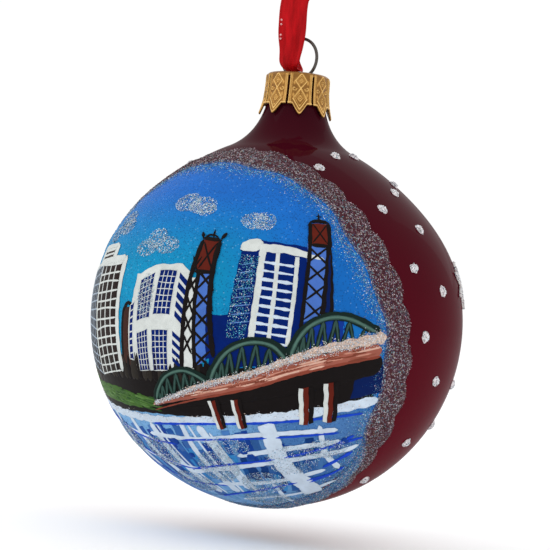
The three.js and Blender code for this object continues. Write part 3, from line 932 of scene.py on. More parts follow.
def cap_relief(x, y, hem):
    """The pressed pattern's height from 0 to 1, where x is across the tab and y down from the cap's
    top, in mm: lines beside the slits and along the hem, two chained diamonds |x| = a |tri(y)|, drawn
    double, with a small diamond and a bead in each, and a curl and two leaves on each side."""
    upper = 1.22 * (1 - np.abs(y - 2.1) / 1.6)
    lower = 1.42 * (1 - np.abs(y - 6.0) / 2.3)
    out_upper, out_lower = np.abs(x) - upper, np.abs(x) - lower
    diamonds = np.maximum(ridge(out_upper, 0.14), ridge(out_lower, 0.15))
    inner = np.maximum(ridge(out_upper + 0.42, 0.07), ridge(out_lower + 0.44, 0.07)) * 0.6
    inner = inner * (np.abs(y - 3.75) > 0.9)
    small = np.maximum(
        ridge((np.abs(x) / 0.4 + np.abs(y - 2.1) / 0.5 - 1) * 0.35, 0.09),
        ridge((np.abs(x) / 0.46 + np.abs(y - 5.9) / 0.66 - 1) * 0.4, 0.1),
    )
    beads = np.maximum(ridge(np.hypot(x, y - 2.1), 0.14), ridge(np.hypot(x, y - 7.4), 0.18))
    beads = np.maximum(beads, ridge(np.hypot(x, y - 5.9), 0.15))
    side = np.abs(x) - 1.36
    swirl = np.arctan2(y - 3.75, side)
    curls = ridge(np.hypot(side, y - 3.75) - 0.3 - 0.07 * swirl, 0.11)
    leaf = sum(ridge(np.hypot(side - 0.1, (y - at) * 0.5), 0.2) for at in (2.5, 5.1))
    edge = np.maximum(ridge(np.abs(x) - 2.3, 0.13), ridge(np.abs(x) - 1.98, 0.07) * 0.7)
    border = ridge(hem - y - 0.26, 0.15) * (y > 5)
    lines = [diamonds, inner, small * 0.8, beads, curls * 0.9, leaf * 0.6, edge, border]
    return np.maximum.reduce(lines) * ease(y, 0.35, 0.75)


def make_cap():
    """A pressed foil cap, drawn from its top's middle outwards and down: the flat top, a quarter
    round at the corner, then eight tabs that flare as (d / 9) cubed, parted by slits, with a tooth
    hanging from the middle of each. The pattern's height is added along the surface's normal."""
    reach = CAP_RADIUS - CAP_CORNER
    flare = TOOTH_RADIUS - CAP_RADIUS
    per_tab, tab_span = 30, 360 / TABS
    gap = math.degrees(SLIT_WIDTH / CAP_RADIUS)
    tab = np.linspace(gap / 2, tab_span - gap / 2, per_tab)
    angles = (CAP_TURN - tab_span / 2 + np.arange(TABS)[:, None] * tab_span + tab).ravel()
    x = np.tile(tab / tab_span * 2 - 1, TABS) * 2.69
    share = np.clip(np.abs(x) / 2.5 / TOOTH_SHARE, 0, 1)
    tooth = (1.06 - np.hypot(share, 0.06) - 0.06 * share) * (1 + 0.35 * share * (1 - share))
    hem = CAP_HEIGHT + TOOTH_DROP * tooth
    flat = np.repeat(np.linspace(0.35, reach, 16)[:, None], len(x), 1)
    bend = np.repeat(np.linspace(0, math.pi / 2, 9)[1:, None], len(x), 1)
    down = CAP_CORNER + np.linspace(0, 1, 78)[1:, None] * (hem - CAP_CORNER)
    fall = down / FLARE_DEPTH
    radial = np.concatenate([flat, reach + CAP_CORNER * np.sin(bend), CAP_RADIUS + flare * fall**3])
    depth = np.concatenate([0 * flat, CAP_CORNER * (1 - np.cos(bend)), down])
    flare_slope = np.arctan(3 * flare / FLARE_DEPTH * fall**2)
    slope = np.concatenate([0 * flat + math.pi / 2, math.pi / 2 - bend, flare_slope])
    theta = np.radians(angles)
    on_flat = depth < 0.01
    relief = cap_relief(np.broadcast_to(x, depth.shape), depth, hem)
    relief[: len(flat)] = 0
    relief = np.maximum(relief, ridge(radial - 4.6, 0.25) * on_flat * 0.6)
    dents = 0.03 * np.sin(radial * 2.1 + theta * 5) * on_flat
    height = relief * PATTERN_HEIGHT - 0.06 + dents
    height[-1] = height[-1] * 0.3
    towards = np.stack([np.sin(theta) + 0 * radial, -np.cos(theta) + 0 * radial, 0 * radial], -1)
    upright = np.array([0.0, 0.0, 1.0])
    normal = towards * np.cos(slope)[..., None] + upright * np.sin(slope)[..., None]
    shell = towards * radial[..., None] + upright * (CAP_TOP - depth)[..., None] + BALL_CENTRE
    rows, columns = depth.shape
    keep = np.ones((rows - 1, columns), bool)
    cell_depth = (depth[:-1] + depth[1:]) / 2
    keep[:, per_tab - 1 :: per_tab] = cell_depth[:, per_tab - 1 :: per_tab] < SLIT_TOP
    after = np.roll(shell, -1, 1)
    cell = np.abs((shell[:-1] + shell[1:] + after[:-1] + after[1:]) / 4)
    # Two slots in the flat top let the wire's legs through.
    keep &= ~((cell_depth < 0.02) & (np.abs(cell[..., 0] - 3.48) < 1.58) & (cell[..., 1] < 0.52))
    crown = BALL_CENTRE + np.array([[0, 0, CAP_TOP - 0.06], [0, 0, CAP_TOP - CAP_SHEET]])
    sides = two_sides(shell + normal * height[..., None], shell - normal * CAP_SHEET)
    points = np.concatenate([sides, crown])
    masks = np.concatenate([relief.ravel(), relief.ravel() * 0.3, [0.0, 0.0]])
    # The strip round the top's middle is taken out, and a fan on each side closes it.
    under = rows * columns
    faces = slab_faces(rows, columns, keep, wrap=True)
    at_middle = (faces[:, 1] < columns) & (faces[:, 0] == (faces[:, 1] + 1) % columns)
    faces = faces[~(at_middle & (faces[:, 2] >= under))]
    first = np.arange(columns)
    second = np.roll(first, -1)
    top_fan = np.stack([second, first, np.full(columns, 2 * under)], -1)
    low_fan = np.stack([first + under, second + under, np.full(columns, 2 * under + 1)], -1)
    faces = outward(points - BALL_CENTRE, [faces, np.concatenate([top_fan, low_fan])])
    return make_piece("pressed_cap", points, faces, gold, masks={"relief": masks})


def make_wire():
    """The spring wire: a leg inside the neck, a round loop over the cap and the other leg, as one
    round wire along a smooth curve through all their corners."""
    leg = [
        (4.15, CAP_TOP - 23.5),
        (4.55, CAP_TOP - 20.9),
        (4.7, CAP_TOP - 15.5),
        (4.7, CAP_TOP - 10),
        (4.3, CAP_TOP - 6.5),
        (3.12, CAP_TOP - 3),
        (2.62, CAP_TOP - 1.1),
        (2.65, CAP_TOP - 0.1),
    ]
    angle = np.radians(np.linspace(50, 310, 27))
    middle = CAP_TOP + 3.5
    loop = [(LOOP_RADIUS * math.sin(a), middle - LOOP_RADIUS * math.cos(a)) for a in angle]
    flat = leg + loop + [(-x, z) for x, z in leg[::-1]]
    corners = np.array([(x, 0.0, z) for x, z in flat]) + BALL_CENTRE
    route, _ = even_steps(curve_through(corners, 8), count=340)
    points, faces, pairs = tube(route, WIRE_RADIUS, 16, np.array([0.0, 1.0, 0.0]))
    return make_piece("wire_spring", points, faces, steel, uv=("along", pairs))


finish_piece(make_cap(), "cap", "gold_cap", "cap")
finish_piece(make_wire(), "hanger", "spring_wire", "hanger_wire")


# --- paint on the ball ---------------------------------------------------------------------------


class Coat:
    """Paint laid bit by bit, gathered into one piece."""

    def __init__(self):
        self.points, self.faces, self.tints, self.count = [], [], [], 0

    def lay(self, upper, lower, tint):
        """One closed dab of paint between two grids of points."""
        rows, columns = upper.shape[:2]
        self.points.append(two_sides(upper, lower))
        self.faces.append(slab_faces(rows, columns) + self.count)
        tint = np.broadcast_to(np.asarray(tint, float), (rows, columns, 4)).reshape(-1, 4)
        self.tints += [tint, tint]
        self.count += rows * columns * 2

    def make(self, name, material, slot="painted_glass"):
        """The gathered paint as one piece that moves with the ball."""
        points, faces, tints = (np.concatenate(part) for part in (self.points, self.faces, self.tints))
        return finish_piece(make_piece(name, points, [faces], material, colours=tints), "ball", slot)


def stroke(coat, corners, width, tint, lift, height=0.05, smooth=True, wobble=0.1, blunt=False):
    """A brush stroke over longitudes and latitudes: at a distance s along it and v across it, the
    point lies v w(s) / 2 to the side and lift + height sqrt(1 - v2) over the glass, where w swells
    and shrinks by the wobble and runs out in a half circle at each end unless the end is blunt."""
    corners = np.asarray(corners, float)
    if len(corners) == 2:
        route = even_steps(corners, count=12)[0]
    elif smooth:
        route = curve_through(corners, 10)
    else:
        steps = np.arange(8)[:, None] / 8
        spans = corners[:-1, None] + np.diff(corners, axis=0)[:, None] * steps
        route = np.concatenate([spans.reshape(-1, 2), corners[-1:]])
    line = near_ball(direction(route[:, 0], route[:, 1]), np.full(len(route), float(lift)))
    line, length = even_steps(line, step=0.75)
    towards = unit(line - BALL_CENTRE)
    along = unit(np.gradient(line, axis=0))
    across = unit(np.cross(along, towards))
    share = np.linspace(0, 1, len(line))
    width = np.interp(share, np.linspace(0, 1, np.size(width)), np.atleast_1d(width).astype(float))
    phase = draws.uniform(0, 6, 3)
    sway = np.sin(share * length * 1.7 + phase[0]) + 0.6 * np.sin(share * length * 4.1 + phase[1])
    half = width / 2 * (1 + wobble * sway)
    if not blunt:
        from_end = np.minimum(share, 1 - share) * length / np.maximum(half, 0.05)
        half = half * np.sqrt(np.clip(1 - (1 - np.clip(from_end, 0, 1)) ** 2, 0.06, 1))
    v = np.array([-1.0, -0.8, -0.3, 0.3, 0.8, 1.0])
    side = across[:, None] * (v[None] * half[:, None] / BALL_RADIUS)[..., None]
    spread = unit(towards[:, None] + side)
    crown = np.sqrt(np.clip(1 - v**2, 0, 1))
    upper = near_ball(spread, np.broadcast_to(lift - 0.02 + height * crown, spread.shape[:2]))
    lower = near_ball(spread, np.full(spread.shape[:2], lift - 0.05))
    coat.lay(upper, lower, tint)


def bilinear(corners, u, v):
    """The longitude and latitude at (u, v) between four corners: lower left, lower right, upper
    right and upper left."""
    a, b, c, d = (np.asarray(corner, float) for corner in corners)
    u, v = np.asarray(u)[..., None], np.asarray(v)[..., None]
    return a * (1 - u) * (1 - v) + b * u * (1 - v) + c * u * v + d * (1 - u) * v


def inset_steps(length):
    """Shares from 0 to 1 along one side of a patch, the second of them 0.12 mm in from the edge."""
    inset = min(0.2, 0.12 / length)
    return np.concatenate([[0], np.linspace(inset, 1 - inset, max(2, int(length / 1.2) + 2)), [1]])


def panel(coat, corners, tint, lift, height=0.04, ragged=0.15):
    """A filled four-sided patch, bilinear between its corners, with rounded edges that waver by
    ragged degrees."""
    spans = near_ball(direction(*np.asarray(corners, float).T), np.zeros(4))
    wide = max(np.linalg.norm(spans[1] - spans[0]), np.linalg.norm(spans[2] - spans[3]))
    tall = max(np.linalg.norm(spans[3] - spans[0]), np.linalg.norm(spans[2] - spans[1]))
    u, v = np.meshgrid(inset_steps(wide), inset_steps(tall))
    place = bilinear(corners, u, v)
    phase = draws.uniform(0, 6, 2)
    sway = [np.sin(place[..., 1] * 1.3 + phase[0]), np.sin(place[..., 0] * 1.1 + phase[1])]
    place = place + ragged * np.stack(sway, -1)
    crown = np.where((u > 0) & (u < 1) & (v > 0) & (v < 1), 1.0, 0.0)
    towards = direction(place[..., 0], place[..., 1])
    upper = near_ball(towards, lift - 0.02 + height * crown)
    lower = near_ball(towards, np.full(u.shape, lift - 0.05))
    coat.lay(upper, lower, tint)


def panels(coat, rows):
    """Patches given as (corners, tint, lift)."""
    for corners, tint, lift in rows:
        panel(coat, corners, tint, lift)


def bars(coat, corners, columns, rows, width, tint, lift):
    """Lines over a dark field: rows + 1 across it and columns + 1 up it, a little uneven."""
    share = np.array([0.0, 0.5, 1.0])
    for i in range(columns + 1):
        u = np.full(3, i / columns) + draws.uniform(-0.01, 0.01, 3)
        stroke(coat, bilinear(corners, u, share), width, tint, lift, wobble=0.14)
    for j in range(rows + 1):
        v = np.full(3, j / rows) + draws.uniform(-0.012, 0.012, 3)
        stroke(coat, bilinear(corners, share, v), width, tint, lift, wobble=0.14)


# The painter's colours.
WHITE = paint(200, 205, 202)
COOL_WHITE = paint(194, 208, 222)
NAVY = paint(0, 28, 98)
DEEP_NAVY = paint(4, 26, 78)
BLACK = paint(22, 18, 18)
BROWN = paint(58, 34, 28)
RUST = paint(92, 30, 20)
GREEN = paint(50, 76, 70)
DARK_GREEN = paint(20, 36, 32)
PALE_GREEN = paint(76, 106, 96)
LILAC = paint(70, 108, 184)
SALMON = paint(150, 86, 72)
GRASS = paint(62, 98, 42)
WATER_DARK = paint(20, 60, 140)
WATER_MID = paint(70, 118, 180)
WATER_PALE = paint(118, 168, 212)


def disc(span, count):
    """A round grid bent onto the ball: a point's distance from the grid's middle becomes an angle of
    up to span degrees from the picture's middle."""
    x, y = round_grid(count)
    far = np.hypot(x, y)
    angle = np.radians(far * span)
    length = np.where(far > 1e-9, far, 1)
    sideways = (x / length)[..., None] * east_way + (y / length)[..., None] * north_way
    return middle_way * np.cos(angle)[..., None] + sideways * np.sin(angle)[..., None]


def lon_lat(towards):
    """The longitude and latitude of unit vectors, in degrees."""
    lon = np.degrees(np.arctan2(towards[..., 0], -towards[..., 1]))
    return lon, np.degrees(np.arcsin(np.clip(towards[..., 2], -1, 1)))


def make_ground():
    """The picture's ground: sky from teal beside the blocks to blue above and to the right, and water
    from pale under the bank to blue below and darker on the right."""
    towards = disc(68.6, 130)
    lon, lat = lon_lat(towards)
    teal = (1 - ease(lat, 8, 42)) * (1 - ease(lon, 12, 44))
    deep = 0.6 * ease(-lat, 30, 48) * (1 - 0.7 * ease(-lat, 58, 72))

    def mixed(base, *layers):
        """A colour with others laid over it in shares that change over the picture."""
        result = np.array(base) * np.ones((*lon.shape, 1))
        for share, shade in layers:
            result = result * (1 - share[..., None]) + np.array(shade) * share[..., None]
        return result

    sky = mixed(
        paint(20, 104, 186),
        (ease(lat, 8, 40), paint(26, 102, 190)),
        (teal * 0.9, paint(10, 138, 178)),
        (ease(lon, 20, 62) * 0.6, paint(18, 98, 178)),
    )
    far_side = 0.75 * ease(lon, 18, 44) * (1 - ease(-lat, 50, 60))
    tint = mixed(WATER_PALE, (deep, WATER_MID), (far_side, paint(40, 88, 152)))
    wet = ease(-lat, 23, 25)[..., None]
    coat = Coat()
    lift = np.zeros(lon.shape)
    coat.lay(near_ball(towards, lift + 0.03), near_ball(towards, lift - 0.1), sky * (1 - wet) + tint * wet)
    return coat.make("sky_and_water", base_coat)


make_ground()

# Water: diagonal washes, wide pale diagonals, long pale ripples and thin dark ripples.
water = Coat()


def slanting(lon0, lat0, run):
    """The line that a diagonal on the water follows: it swings further to the right as it falls."""
    fall = np.linspace(0, run, 4)
    return np.stack([lon0 + fall * 0.28 + 0.013 * fall**2, lat0 - fall], -1)


wash_mixes = [
    paints((20, 60, 140), (70, 118, 180), (52, 96, 160), (30, 78, 150), (90, 138, 184), (50, 124, 184)),
    paints((20, 60, 140), (30, 78, 140), (44, 86, 144), (14, 52, 110), (60, 104, 156), (26, 74, 136)),
    paints((50, 96, 160), (84, 132, 186), (104, 152, 200), (70, 118, 180), (122, 166, 206), (92, 146, 192)),
]
for k in range(230):
    lon0, lat0, run = draws.uniform(-50, 72), draws.uniform(-60, -34), draws.uniform(5, 16)
    towards = direction(lon0 + run * 0.3, lat0 - run * 0.6)
    if towards @ middle_way < math.cos(math.radians(62)):
        continue
    # The washes are deeper on the right, and paler low down.
    mix = 1 if lon0 > 26 and lat0 > -50 else 2 if lat0 < -51 else 0
    width, lift = draws.uniform(0.7, 2.6), 0.06 + 0.0002 * k
    stroke(water, slanting(lon0, lat0, run), width, wash_mixes[mix][k % 6], lift, height=0.03, blunt=True)
pale_diagonals = [
    ([(34, -31), (44, -47), (67, -60)], (3.2, 4.0)),
    ([(3, -33), (7, -46), (19, -64)], (1.1, 1.8)),
    ([(10, -34), (18, -46), (27, -61)], (1.8, 1.4)),
    ([(6, -34), (12, -46), (23, -64)], (0.5, 0.6)),
    ([(14, -36), (23, -50), (33, -64)], (0.5, 0.9)),
    ([(-24, -34), (-20, -46), (-12, -60)], (1.4, 2.0)),
    ([(-12, -35), (-6, -50), (4, -66)], (1.6, 1.8)),
    ([(-9, -35), (-2, -50), (9, -66)], (0.5, 0.6)),
    ([(-38, -32), (-36, -44), (-30, -54)], (1.4, 1.8)),
    ([(-46, -30), (-46, -40), (-42, -48)], (0.9, 1.0)),
    ([(52, -30), (58, -40), (68, -46)], (1.0, 1.3)),
    ([(40, -56), (54, -66), (80, -72)], (0.8, 1.0)),
]
for corners, width in pale_diagonals:
    lift = 0.2 if width[0] > 3 else 0.12
    stroke(water, corners, width, COOL_WHITE, lift, height=0.05, wobble=0.05, blunt=width[0] > 3)
pale_ripples = [
    ([(-15, -39), (8, -39), (32, -35), (59, -31)], 1.1),
    ([(24, -44), (44, -39), (62, -35)], 1.3),
    ([(-6, -55), (32, -47), (63, -39), (70, -36)], 1.2),
    ([(-20, -50), (2, -52), (24, -50)], 1.0),
    ([(8, -60), (40, -55), (62, -47)], 1.3),
    ([(-50, -34), (-34, -38), (-16, -41)], 0.9),
    ([(-46, -42), (-30, -47), (-10, -51)], 1.0),
    ([(20, -70), (56, -62), (72, -52)], 1.0),
]
for corners, width in pale_ripples:
    stroke(water, corners, width, COOL_WHITE, 0.15, height=0.05, wobble=0.12)
dark_ripples = [
    ([(-10, -35), (2, -34), (31, -31), (50, -28), (66, -25)], 0.55),
    ([(1, -40), (34, -36), (60, -32)], 0.5),
    ([(1, -52), (20, -48), (42, -43), (70, -33)], 0.6),
    ([(2, -69), (30, -62), (53, -54), (68, -48)], 0.6),
    ([(66, -32.6), (62, -35.6), (58, -38)], 1.0),
    ([(69, -38.6), (65, -42), (60, -46)], 0.9),
    ([(70, -45), (66, -49), (58, -54)], 0.7),
    ([(-52, -30), (-40, -36), (-20, -41), (-2, -42)], 0.5),
    ([(-40, -42), (-24, -48), (-4, -52), (8, -51)], 0.5),
    ([(-36, -52), (-12, -60), (14, -60)], 0.5),
]
for corners, width in dark_ripples:
    stroke(water, corners, width, paint(24, 66, 186), 0.19, height=0.05, wobble=0.2)
for lon0, lat0, size in [(24, -41, 4), (28, -43, 3), (60, -36, 3), (62, -34, 3), (-4, -40, 3), (2, -45, 2)]:
    stroke(water, [(lon0, lat0), (lon0 + size, lat0 - 1.5)], 1.6, WATER_DARK, 0.2, height=0.05)
# The snowy shore line over the water.
shore = [(-64, -21), (-50, -29), (-36, -32), (-8, -33.5), (16, -31.5), (42, -27.5), (70, -20.5)]
stroke(water, shore, (1.6, 2.0, 1.8, 2.0, 2.2, 2.2), COOL_WHITE, 0.13, height=0.06, wobble=0.16)
water.make("water_strokes", gouache)

# Land: the bank, the trees and the grass.
land = Coat()
panels(
    land,
    [
        ([(-66, -21), (-38, -32), (-36, -14), (-64, -8)], paint(36, 32, 30), 0.1),
        ([(-38, -32), (14, -31), (14, -14), (-36, -14)], BLACK, 0.1),
        ([(13, -31), (45, -26), (45, -13), (13, -15)], BLACK, 0.1),
        ([(44, -26.5), (68, -21), (67, -11), (44, -14)], BLACK, 0.1),
        ([(60, -21), (70, -18), (69, -10), (60, -12)], DEEP_NAVY, 0.13),
    ],
)
trees = [BLACK, *paints((44, 40, 36), (38, 34, 30))]
grasses = [GRASS, *paints((44, 76, 34), (84, 120, 60), (66, 100, 42))]
for k in range(40):
    lon0 = -62 + k * 1.95 + draws.uniform(-0.5, 0.5)
    base = -17 if lon0 > -40 else -13
    top = base + draws.uniform(1.5, 5.0)
    shade = trees[k % 3]
    stroke(land, [(lon0, base - 4), (lon0 + draws.uniform(-0.8, 0.8), top)], (1.6, 0.7), shade, 0.14)
panels(
    land,
    [
        ([(-63, -18), (-44, -27.4), (-44, -23), (-62, -15)], GRASS, 0.15),
        ([(-44.4, -27.4), (-20, -30), (-22, -24.2), (-44, -23)], GRASS, 0.15),
        ([(-21, -30), (-4, -29), (-4, -27.6), (-21, -24.6)], GRASS, 0.15),
    ],
)
for k in range(150):
    lon0 = draws.uniform(-62, -6)
    lat0 = np.interp(lon0, [-62, -44, -22, -4], [-16.4, -25.2, -27, -28]) + draws.uniform(-2.2, 2.0)
    reach = draws.uniform(2, 6)
    ends = [(lon0, lat0), (lon0 + reach, lat0 - reach * 0.12)]
    stroke(land, ends, draws.uniform(0.3, 0.6), grasses[k % 4], 0.17)
land.make("river_bank", gouache)


# The left-hand blocks: white bars over dark fields. The tallest has a shaded side and a smaller
# block on its roof. Two lower blocks stand beyond it.
walls, windows = Coat(), Coat()
SHADE = paint(150, 164, 178)
fields = [
    ([(-62, -12), (-58, -13), (-58, -3), (-61.5, -4)], 2, 4, WHITE, BROWN, 0.35),
    ([(-58, -14), (-54, -15), (-53.5, 4), (-57.5, 3)], 2, 7, SHADE, NAVY, 0.4),
    ([(-54, -16), (-33.4, -21), (-36, 12.4), (-52, 9)], 7, 12, SHADE, paint(34, 34, 40), 0.34),
    ([(-33.6, -21), (-18.6, -19), (-21.4, 13.2), (-36.4, 12)], 4, 12, WHITE, paint(34, 22, 20), 0.4),
    ([(-39, 13.6), (-29.8, 14.6), (-29.6, 17.4), (-38.6, 16.4)], 1, 2, WHITE, paint(44, 32, 30), 0.5),
]
panels(
    walls,
    [
        ([(-41, 11), (-19.6, 12.2), (-19.9, 15.2), (-41.4, 12.8)], WHITE, 0.1),
        ([(-20.8, -20), (-18.4, -19), (-19.8, 14), (-22.0, 13.6)], WHITE, 0.1),
        ([(-40, 12.6), (-28.4, 13.8), (-28.6, 18.6), (-39.8, 17.4)], WHITE, 0.1),
    ],
)
for corners, columns, rows, bar, field, width in fields:
    panel(walls, corners, field, 0.12)
    bars(windows, corners, columns, rows, width, bar, 0.15)
for corners, width in [
    ([(-42, 12.2), (-30, 13.9), (-20.6, 14.8)], 1.4),
    ([(-20.2, 15.4), (-19.8, 0), (-18.6, -19)], 1.3),
    ([(-36.4, 12), (-35, 0), (-33.6, -21)], 0.7),
    ([(-40.6, 12.6), (-40, 17.8), (-28.6, 18.8)], 1.0),
    ([(-28.2, 19.0), (-28.2, 14.2)], 1.3),
    ([(-54, 9.4), (-42, 12)], 1.0),
]:
    stroke(windows, corners, width, WHITE, 0.17, smooth=False)
# The dark block behind, between the white ones.
panel(windows, [(-17.6, -16), (-12, -17), (-12, 0.8), (-16.0, 0.0)], BROWN, 0.13)
stroke(windows, [(-16.9, -15), (-16.4, -1), (-14.8, 1.6), (-12.4, 1.0)], 0.8, BLACK, 0.15, smooth=False)

# The second block: white, with a bent roof line, two window fields above and two below a band, and
# dark slanting stripes on its right side.
panels(
    walls,
    [
        ([(-12, -18), (10, -17), (10, 8), (-12.5, 3)], WHITE, 0.13),
        ([(-12.5, 2), (10, 7), (8.4, 11.8), (-12, 10)], WHITE, 0.13),
        ([(-11.6, 9.6), (8.2, 11.4), (4.6, 14), (-5.4, 13.2)], WHITE, 0.13),
    ],
)
second = [
    ([(-9.8, -3.6), (-4.6, -2.2), (-4.6, 11.0), (-9.8, 8.4)], 4, 8, 0.17),
    ([(-3.4, -1.2), (2.8, -0.9), (3.4, 12.0), (-2.8, 11.8)], 4, 7, 0.2),
    ([(-9.2, -18), (-4.8, -17.6), (-5.2, -5.6), (-9.8, -7)], 4, 7, 0.16),
    ([(-3.4, -17.5), (2.2, -17), (2.4, -5.2), (-3.6, -5.6)], 4, 7, 0.18),
]
for corners, columns, rows, width in second:
    panel(windows, corners, NAVY, 0.15)
    bars(windows, corners, columns, rows, width, WHITE, 0.18)
for k in range(5):
    top = 11.4 - k * 2.75
    stripe = [(4.4, top - 1.6), (8.8, top - 5.4), (9.6, top - 4.2), (4.5, top)]
    panel(windows, stripe, NAVY, 0.18, ragged=0.05)
for k in range(4):
    top = -5.4 - k * 2.5
    stripe = [(4.0, top - 1.4), (7.4, top - 3.8), (7.8, top - 2.8), (4.0, top)]
    panel(windows, stripe, NAVY, 0.18, ragged=0.05)
side = [(-13.4, -15), (-11.4, -15), (-11.2, 2), (-13, 1)]
panel(windows, side, NAVY, 0.15)
bars(windows, side, 1, 8, 0.4, WHITE, 0.17)

# The navy blocks low down between the towers, and the third block with its dark flank.
panels(
    walls,
    [
        ([(16, -16), (31, -13), (31, 1), (15.5, 0)], NAVY, 0.11),
        ([(20.2, -10), (30, -8), (31, 19), (22.6, 19)], NAVY, 0.13),
        ([(22, 19), (44, 18), (43.5, 22), (27, 23)], NAVY, 0.14),
        ([(30, -15), (42, -11), (43.6, 19), (30, 19)], NAVY, 0.14),
        ([(41, -11), (56, -5), (54, 2.6), (42, 0)], paint(16, 52, 140), 0.12),
        ([(54, -5), (66, -2), (64, 2), (54, 3)], paint(24, 110, 186), 0.12),
    ],
)
third = Coat()
for corners, width in [
    ([(29, 21), (28.8, 8), (28, -7)], 1.3),
    ([(33.6, 19.5), (33.6, 8), (33, -7)], 0.85),
    ([(39.4, 18.6), (39.2, 8), (38.4, -7)], 0.85),
]:
    stroke(third, corners, width, WHITE, 0.19, smooth=False, blunt=True)
for k in range(10):
    lat0 = 16.4 - 2.5 * k
    width = draws.uniform(0.4, 0.62)
    stroke(third, [(28.4, lat0), (39, lat0 - 0.7)], width, COOL_WHITE, 0.185, wobble=0.25)
stroke(third, [(27.5, 20.6), (36, 20.6), (47.5, 18.6)], (1.9, 1.6, 1.1), WHITE, 0.2, smooth=False)
stroke(third, [(22.2, 20.2), (25, 21.6), (28.8, 22.0)], (1.8, 1.9), WHITE, 0.21)
stroke(third, [(22, 19.8), (28, 20.2)], 1.1, WHITE, 0.2)
for k in range(8):
    lat0 = 15.5 - 2.4 * k
    stroke(third, [(23 - 0.26 * k, lat0 - 0.6), (27.4, lat0 + 0.4)], 0.26, paint(84, 120, 180), 0.19)
walls.make("block_walls", gouache)
windows.make("block_windows", gouache)
third.make("third_block_frames", gouache)

# The lift towers: lilac sky between dark lattice legs under a rust-brown machine room.
towers = Coat()
panels(
    towers,
    [
        ([(7.6, -17), (11.4, -16), (10.6, 10), (8.4, 10)], WHITE, 0.19),
        ([(11.4, -15), (16.8, -12), (14.6, 12.4), (10.6, 12.4)], LILAC, 0.2),
        ([(15, -13), (16.8, -12), (14.8, 12), (14.0, 12)], NAVY, 0.22),
        ([(9.4, 12), (14.8, 12), (15.0, 21.6), (9.6, 21.6)], RUST, 0.22),
        ([(42.2, 0), (48.6, 3), (49.2, 23), (42.4, 23)], LILAC, 0.2),
        ([(43.4, 22.6), (48.6, 22.6), (49.2, 30.4), (43.8, 30)], RUST, 0.22),
        ([(46.8, 2.6), (50.8, 3), (49.8, 23), (48.2, 23)], BLACK, 0.24),
        ([(48.4, 3.4), (49.6, 3.4), (49.4, 20), (48.9, 20)], DEEP_NAVY, 0.28),
    ],
)
lattice = [
    ([(9.6, 21.8), (8.4, 12), (7.8, 4), (7.2, -17)], 0.95),
    ([(10.6, 12.4), (10.6, 4), (11.6, -16)], 0.85),
    ([(15.3, 21.8), (14.8, 12), (15.6, 0), (17.4, -12)], 1.1),
    ([(9.2, 22.2), (15.8, 21.8)], 0.8),
    ([(9, 12), (15, 12)], 0.8),
    ([(9.4, 22.2), (8.6, 24.2)], 0.8),
    ([(15.4, 22.2), (16.8, 24.4)], 0.8),
    ([(9.8, 22.2), (11.2, 23.4), (13.4, 23.2), (14.8, 22.2)], 0.4),
    ([(12.6, 22.4), (12.6, 25.2)], 0.4),
    ([(10.2, 21), (14.4, 13)], 0.4),
    ([(14.6, 21), (10.2, 13)], 0.4),
    ([(43.2, 30.6), (43.0, 20), (42.2, 8), (41.8, -2)], 0.8),
    ([(49.4, 30.8), (49.4, 22)], 0.85),
    ([(43.2, 30.6), (46, 31.2), (49.4, 30.8)], 0.8),
    ([(43.2, 22.8), (49.4, 22.8)], 0.8),
    ([(46.2, 31), (46.2, 34)], 0.35),
    ([(45.2, 32.8), (47.4, 32.8)], 0.3),
    ([(44, 30), (48.6, 23.6)], 0.3),
    ([(48.8, 30), (44, 23.6)], 0.3),
]
for corners, width in lattice:
    stroke(towers, corners, width, BLACK, 0.26, height=0.06, smooth=len(corners) > 3, wobble=0.12)
for k in range(5):
    top, low = 12.4 - 5.6 * k, 12.4 - 5.6 * (k + 1)
    stroke(towers, [(10.4, top), (16.2 + 0.3 * k, low)], 0.5, BLACK, 0.27)
    stroke(towers, [(15.4 + 0.3 * k, top), (10.8, low)], 0.5, BLACK, 0.27)
    stroke(towers, [(7.8, top + 4), (10.6, low + 4)], 0.45, BLACK, 0.27)
    stroke(towers, [(10.6, top + 4), (7.6, low + 4)], 0.45, BLACK, 0.27)
for k in range(4):
    top, low = 22.4 - 5.4 * k, 22.4 - 5.4 * (k + 1)
    stroke(towers, [(42.4, top), (48.6, low)], 0.42, BLACK, 0.27)
    stroke(towers, [(48.6, top), (42.2, low)], 0.42, BLACK, 0.27)
towers.make("lift_towers", gouache)

